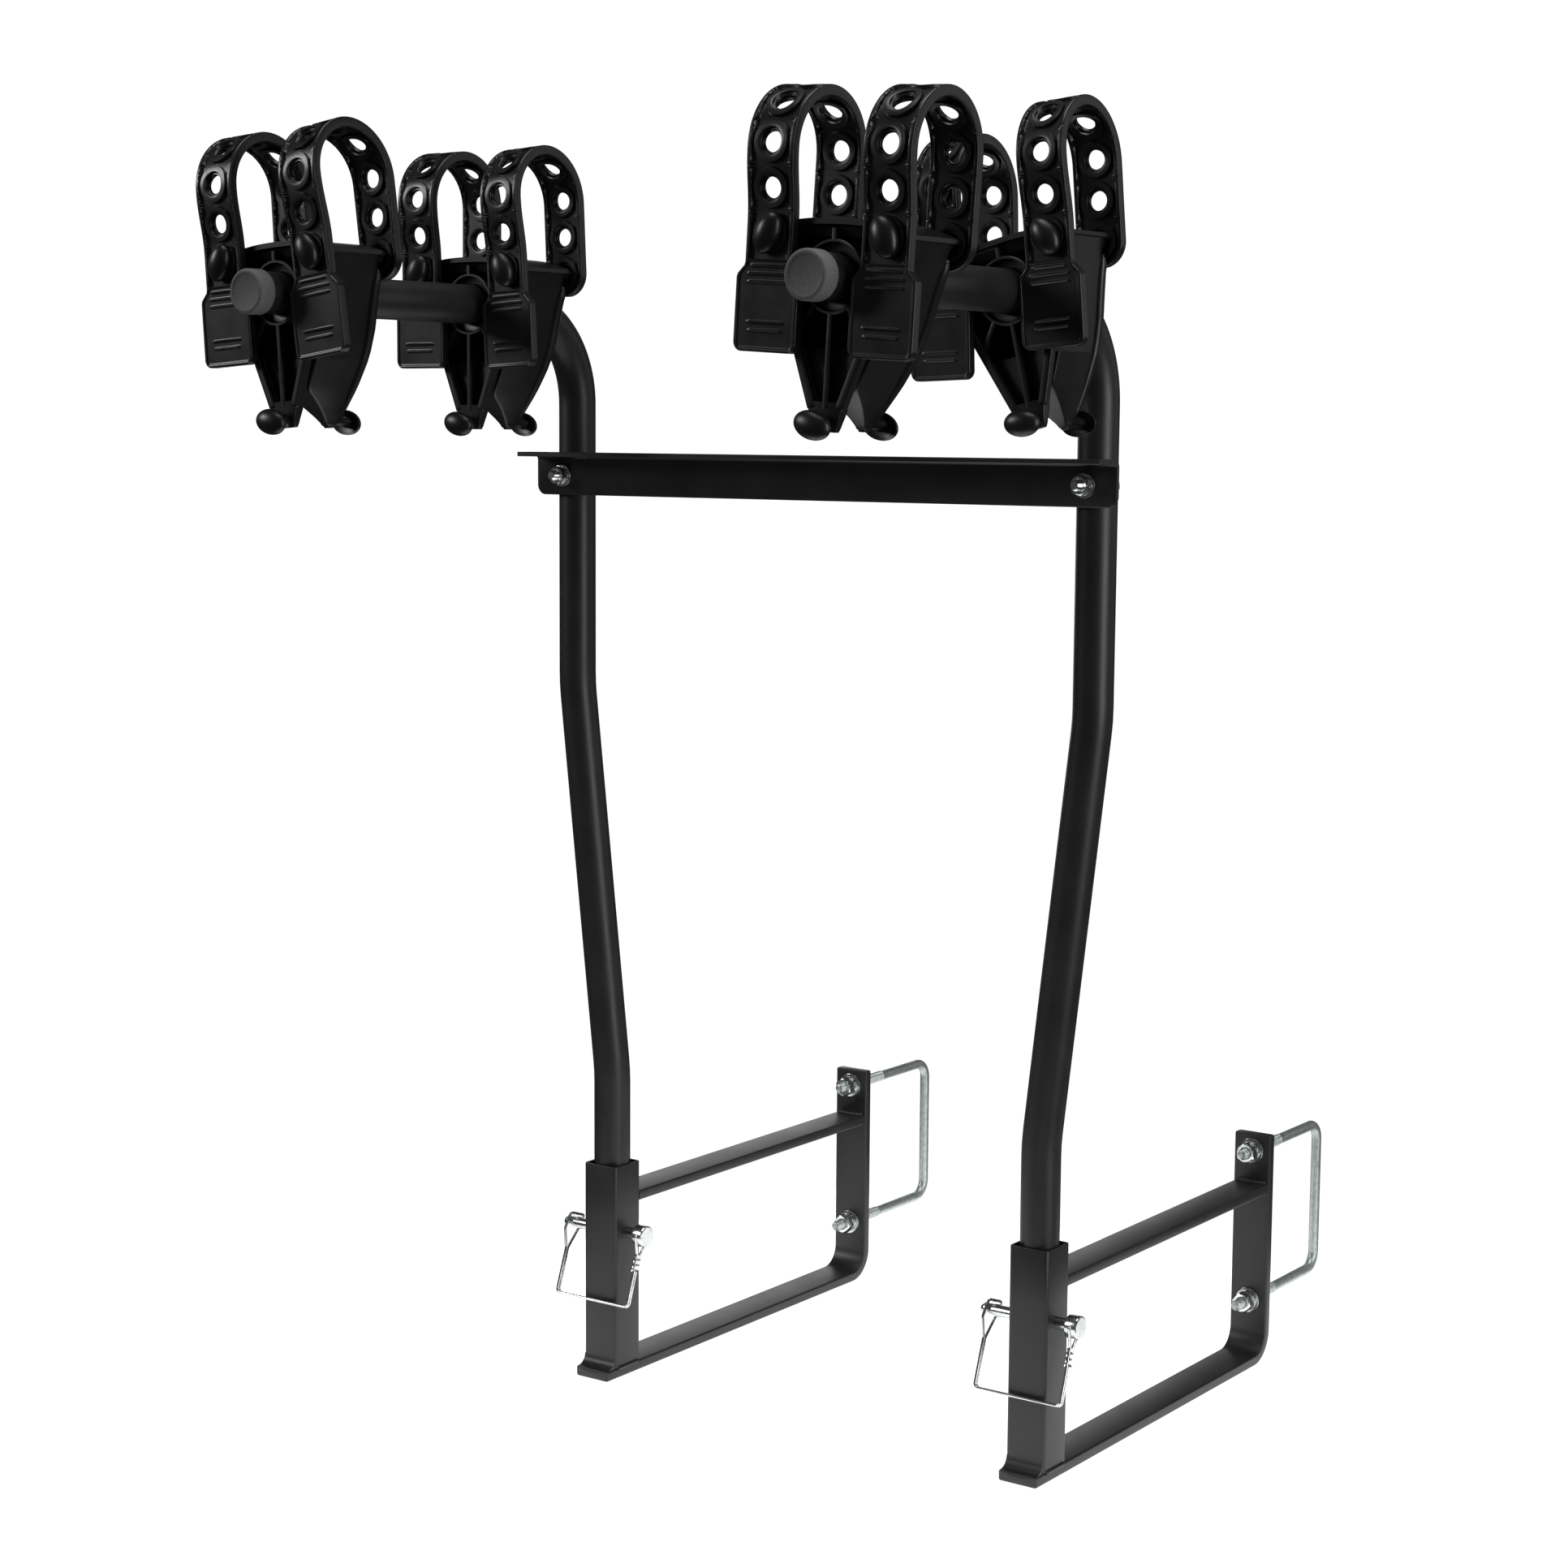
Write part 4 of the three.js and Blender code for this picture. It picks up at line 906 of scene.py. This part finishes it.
def strap_cells():
    """Each hole's cell runs from the hole's circle out to a rectangle one pitch long; the last one ends
    in a half round. Rings of both faces join at the hole and along the outline."""
    half = STRAP_WIDTH / 2
    near = np.array([6.4, 6.5, 6.7, 7.2, 7.6, 7.8, 8.0, 8.2, 8.9, 10.2, 11.6, 11.9, 12.1, 12.3, 12.5, 12.8])
    far = np.array([0.1, 0.2, 0.3, 0.4, 0.5, 0.6, 0.7, 0.8, 0.87, 0.93, 0.97, 0.99, 1.0])
    made = []
    for k in range(STRAP_HOLES):
        centre = FRONT_AT + k * PITCH
        high = PITCH / 2
        low = -half if k == 0 else -high
        a = np.arange(96) * TAU / 96
        for corner in np.arctan2([half, half, -half, -half], [high, low, low, high]) % TAU:
            a[np.argmin(np.abs(a - corner))] = corner
        c, s = np.cos(a), np.sin(a)
        reach_s = np.where(c > 0, high, -low) / np.maximum(np.abs(c), 1e-9)
        reach = np.minimum(half / np.maximum(np.abs(s), 1e-9), reach_s)
        if k == STRAP_HOLES - 1:
            reach = np.where(c > 0, half, reach)
        ring = np.repeat(near[:, None], len(a), 1)
        outside = near[-1] + far[:, None] * (reach[None] - near[-1])
        radius = np.concatenate([ring, outside])
        along, across = radius * c, radius * s
        edge = half - np.abs(across)
        if k == STRAP_HOLES - 1:
            edge = np.where(along > 0, half - radius, edge)
        height = strap_height(np.maximum(edge, 0), radius)
        top = on_strap(centre + along, across, height)
        bottom = on_strap(centre + along, across, -height)
        made.append(closed(np.concatenate([top, bottom[::-1]]), wrap=True))
    return made


def strap_tab():
    """The pull tab: as wide as the strap, then stepped out, with rounded lower corners; its face is sunk
    0.75 mm inside a 2 mm rim, with three short ribs over two."""
    top, bottom, corner = TAB_TOP, TAB_LOW, 6.0
    round_z = bottom + corner - corner * np.sin(np.linspace(0.1, 1.57, 14))
    z = np.r_[top, top - 0.5, np.linspace(top - 1, bottom + corner, 110), round_z]
    half = np.interp(z, [-2.6, -0.4, 4.6, 6.8], [TAB_WIDTH / 2, TAB_WIDTH / 2 - 0.6, 17.6, 17.0])
    over = np.clip((bottom + corner - z) / corner, 0, 1)
    half = half - corner * (1 - np.sqrt(1 - over ** 2))
    u = np.sin(np.linspace(-math.pi / 2, math.pi / 2, 61))[None]
    x = half[:, None] * u
    edge = np.minimum(half[:, None] - np.abs(x), z[:, None] - bottom)
    sunk = 0.75 * smooth((edge - 2.0) / 0.6) * smooth((top - 0.8 - z[:, None]) / 0.7)
    for place, long in ((4.4, 11.4), (-0.4, 13.6), (-5.3, 13.2), (-29.2, 12.6), (-34.2, 11.2)):
        off = np.hypot(np.maximum(np.abs(x) - long, 0), z[:, None] - place)
        sunk = sunk - 1.0 * (1 - smooth(off / 1.1))
    fall = 0.9 * (1 - np.sqrt(1 - np.clip(1 - edge / 0.9, 0, 1) ** 2))
    front = STRAP_FRONT_Y - STRAP_T / 2 + sunk + fall
    back = STRAP_FRONT_Y + STRAP_T / 2 - fall
    rows = np.broadcast_to(z[:, None], x.shape)
    groove = half[:, None] - 0.6
    seam_y = np.full((len(z), 1), STRAP_FRONT_Y)
    face = np.stack([x, front, rows], -1)
    rear = np.stack([x, back, rows], -1)[:, ::-1]
    right = np.stack([groove, seam_y, z[:, None]], -1)
    left = np.stack([-groove, seam_y, z[:, None]], -1)
    return closed(np.concatenate([face, right, rear, left], 1))


def leaned(points, lean):
    """Turns a strap about the axis through its own two knobs."""
    c, s = math.cos(lean), math.sin(lean)
    x, z = points[:, 0], points[:, 2] - KNOB_Z
    return np.stack([c * x + s * z, points[:, 1], KNOB_Z - s * x + c * z], 1)


def cradle(side, place, y, turn, leans):
    """Turns the cradle's pieces about the arm's axis and sets them on the arm."""
    name = f"{side}_{place}"
    x = TOP_X if side == "right" else -TOP_X
    c, s = math.cos(math.radians(turn)), math.sin(math.radians(turn))

    def placed(surface, shift=0.0, lean=0.0):
        """A surface leaned about its knobs, shifted across, and turned by (x cos + z sin, z cos - x sin)."""
        points, faces, fans = surface
        points = leaned(points, lean) if lean else points
        across, up = points[:, 0] + shift, points[:, 2]
        set_points = np.stack([x + c * across + s * up, y + points[:, 1], ARM_Z - s * across + c * up], 1)
        return set_points, faces, fans

    piece(f"{name}_moulded_cradle", [placed(k) for k in BODY], NYLON, f"{name}_cradle",
          [f"{name}_cradle_body"], 42)
    for hand, sign, lean in (("left", -1, leans[0]), ("right", 1, leans[1])):
        surfaces = [placed(k, sign * KNOB_X, math.radians(lean)) for k in STRAP]
        piece(f"{name}_rubber_strap_{hand}", surfaces, RUBBER, f"{name}_cradle",
              [f"{name}_strap_{hand}"], 50)
    bush = [(14.8, 5.3), (15.2, 5.0), (19.6, 5.0), (20.0, 5.4), (20.0, 7.7), (19.4, 7.7), (19.4, 51),
            (14.8, 51)]
    ring = closed(turned(bush, (0, 1, 0), (x, y, ARM_Z), 72), wrap=True)
    piece(f"{name}_nylon_bush", [ring], NYLON, f"{name}_bush", [f"{name}_cradle_bush"])


# ---- assembly ----
for side, sign in SIDES:
    mast(side, sign)
    bracket(side, sign)
    u_bolt(side, sign)
    lock_pin(side, sign)
crossbar()
BODY = cradle_body_surfaces()
STRAP = strap_cells() + [strap_tab()]
for settings in CRADLES:
    cradle(*settings)


# ---- floor, light and camera ----
FLOOR_GLOW = 0.85
FLOOR_HALF_X, FLOOR_HALF_Y = 0.46, 0.52
BACKDROP, ROOM_GLOW = 1.05, 0.05
LENS_MM = 67.0807


def floor():
    """A plain sheet of backlit acrylic, a little larger than the rack."""
    mesh = bpy.data.meshes.new("studio_floor")
    signs = ((-1, -1), (1, -1), (1, 1), (-1, 1))
    corners = [(u * FLOOR_HALF_X, v * FLOOR_HALF_Y, 0) for u, v in signs]
    mesh.from_pydata(corners, [], [(0, 1, 2, 3)])
    material, tree, shader, where = start_material("backlit_white_acrylic")
    speck = add(tree, "ShaderNodeTexNoise", {"Scale": 6.0}, Vector=where)
    colour = ramp(tree, speck.outputs["Fac"], [(0.3, "F4F4F4"), (0.7, "FAFAFA")])
    tree.links.new(colour, shader.inputs["Base Color"])
    shader.inputs["Roughness"].default_value = 0.9
    shader.inputs["Specular IOR Level"].default_value = 0.1
    shader.inputs["Emission Color"].default_value = (1, 1, 1, 1)
    shader.inputs["Emission Strength"].default_value = FLOOR_GLOW
    mesh.materials.append(material)
    obj = bpy.data.objects.new("studio_floor", mesh)
    bpy.context.scene.collection.objects.link(obj)


def world():
    """White behind the rack, and a dimmer even glow for everything that it lights."""
    bpy.context.scene.world = bpy.data.worlds.new("studio")
    bpy.context.scene.world.use_nodes = True
    tree = bpy.context.scene.world.node_tree
    tree.nodes.clear()
    seen = add(tree, "ShaderNodeBackground", {"Color": (1, 1, 1, 1), "Strength": BACKDROP})
    lit = add(tree, "ShaderNodeBackground", {"Color": (1, 1, 1, 1), "Strength": ROOM_GLOW})
    path = add(tree, "ShaderNodeLightPath")
    mix = add(tree, "ShaderNodeMixShader")
    tree.links.new(path.outputs["Is Camera Ray"], mix.inputs[0])
    tree.links.new(lit.outputs[0], mix.inputs[1])
    tree.links.new(seen.outputs[0], mix.inputs[2])
    tree.links.new(mix.outputs[0], add(tree, "ShaderNodeOutputWorld").inputs[0])


def soft_box(name, place, aim, size, brightness):
    """A rectangular area light that looks at a point; its power is brightness times pi times its area."""
    light = bpy.data.lights.new(name, "AREA")
    light.shape = "RECTANGLE"
    light.size, light.size_y = size
    light.energy = brightness * math.pi * size[0] * size[1]
    obj = bpy.data.objects.new(name, light)
    obj.location = place
    back = np.array(place) - np.array(aim)
    obj.rotation_euler = Vector(back).to_track_quat("Z", "Y").to_euler()
    bpy.context.scene.collection.objects.link(obj)


def camera():
    """A long lens at the side of the right arm, a little above it."""
    yaw, pitch, roll = (math.radians(v) for v in (35.507, 6.919, 0.418))
    ahead = np.array([-math.sin(yaw) * math.cos(pitch), math.cos(yaw) * math.cos(pitch), -math.sin(pitch)])
    right = np.array([math.cos(yaw), math.sin(yaw), 0])
    up = np.cross(right, ahead)
    c, s = math.cos(roll), math.sin(roll)
    right, up = c * right + s * up, c * up - s * right
    place = (np.array([1233.3, -1773.0, 751.6]) + ORIGIN) / 1000
    lens = bpy.data.cameras.new("camera")
    lens.sensor_width = 36.0
    lens.lens = LENS_MM
    obj = bpy.data.objects.new("camera", lens)
    turn = np.stack([right, up, -ahead], 1)
    obj.matrix_world = Matrix.Translation(place.tolist()) @ Matrix(turn.tolist()).to_4x4()
    bpy.context.scene.collection.objects.link(obj)
    bpy.context.scene.camera = obj


bpy.context.scene.view_settings.view_transform = "Standard"
floor()
world()
soft_box("left_front", (-3.3, -2.6, 2.3), (0, -0.1, 0.95), (1.3, 1.3), 11.0)
soft_box("right_side", (3.1, -0.4, 1.1), (0, 0, 0.6), (1.1, 2.6), 5.5)
soft_box("right_back", (2.6, 3.2, 1.3), (0, 0, 0.6), (1.6, 2.2), 0.5)
soft_box("left_back", (-2.8, 3.0, 0.9), (0, 0, 0.4), (2.6, 1.6), 1.5)
soft_box("top", (0.2, -0.2, 3.2), (0, 0, 0.5), (2.0, 1.6), 4.0)
camera()
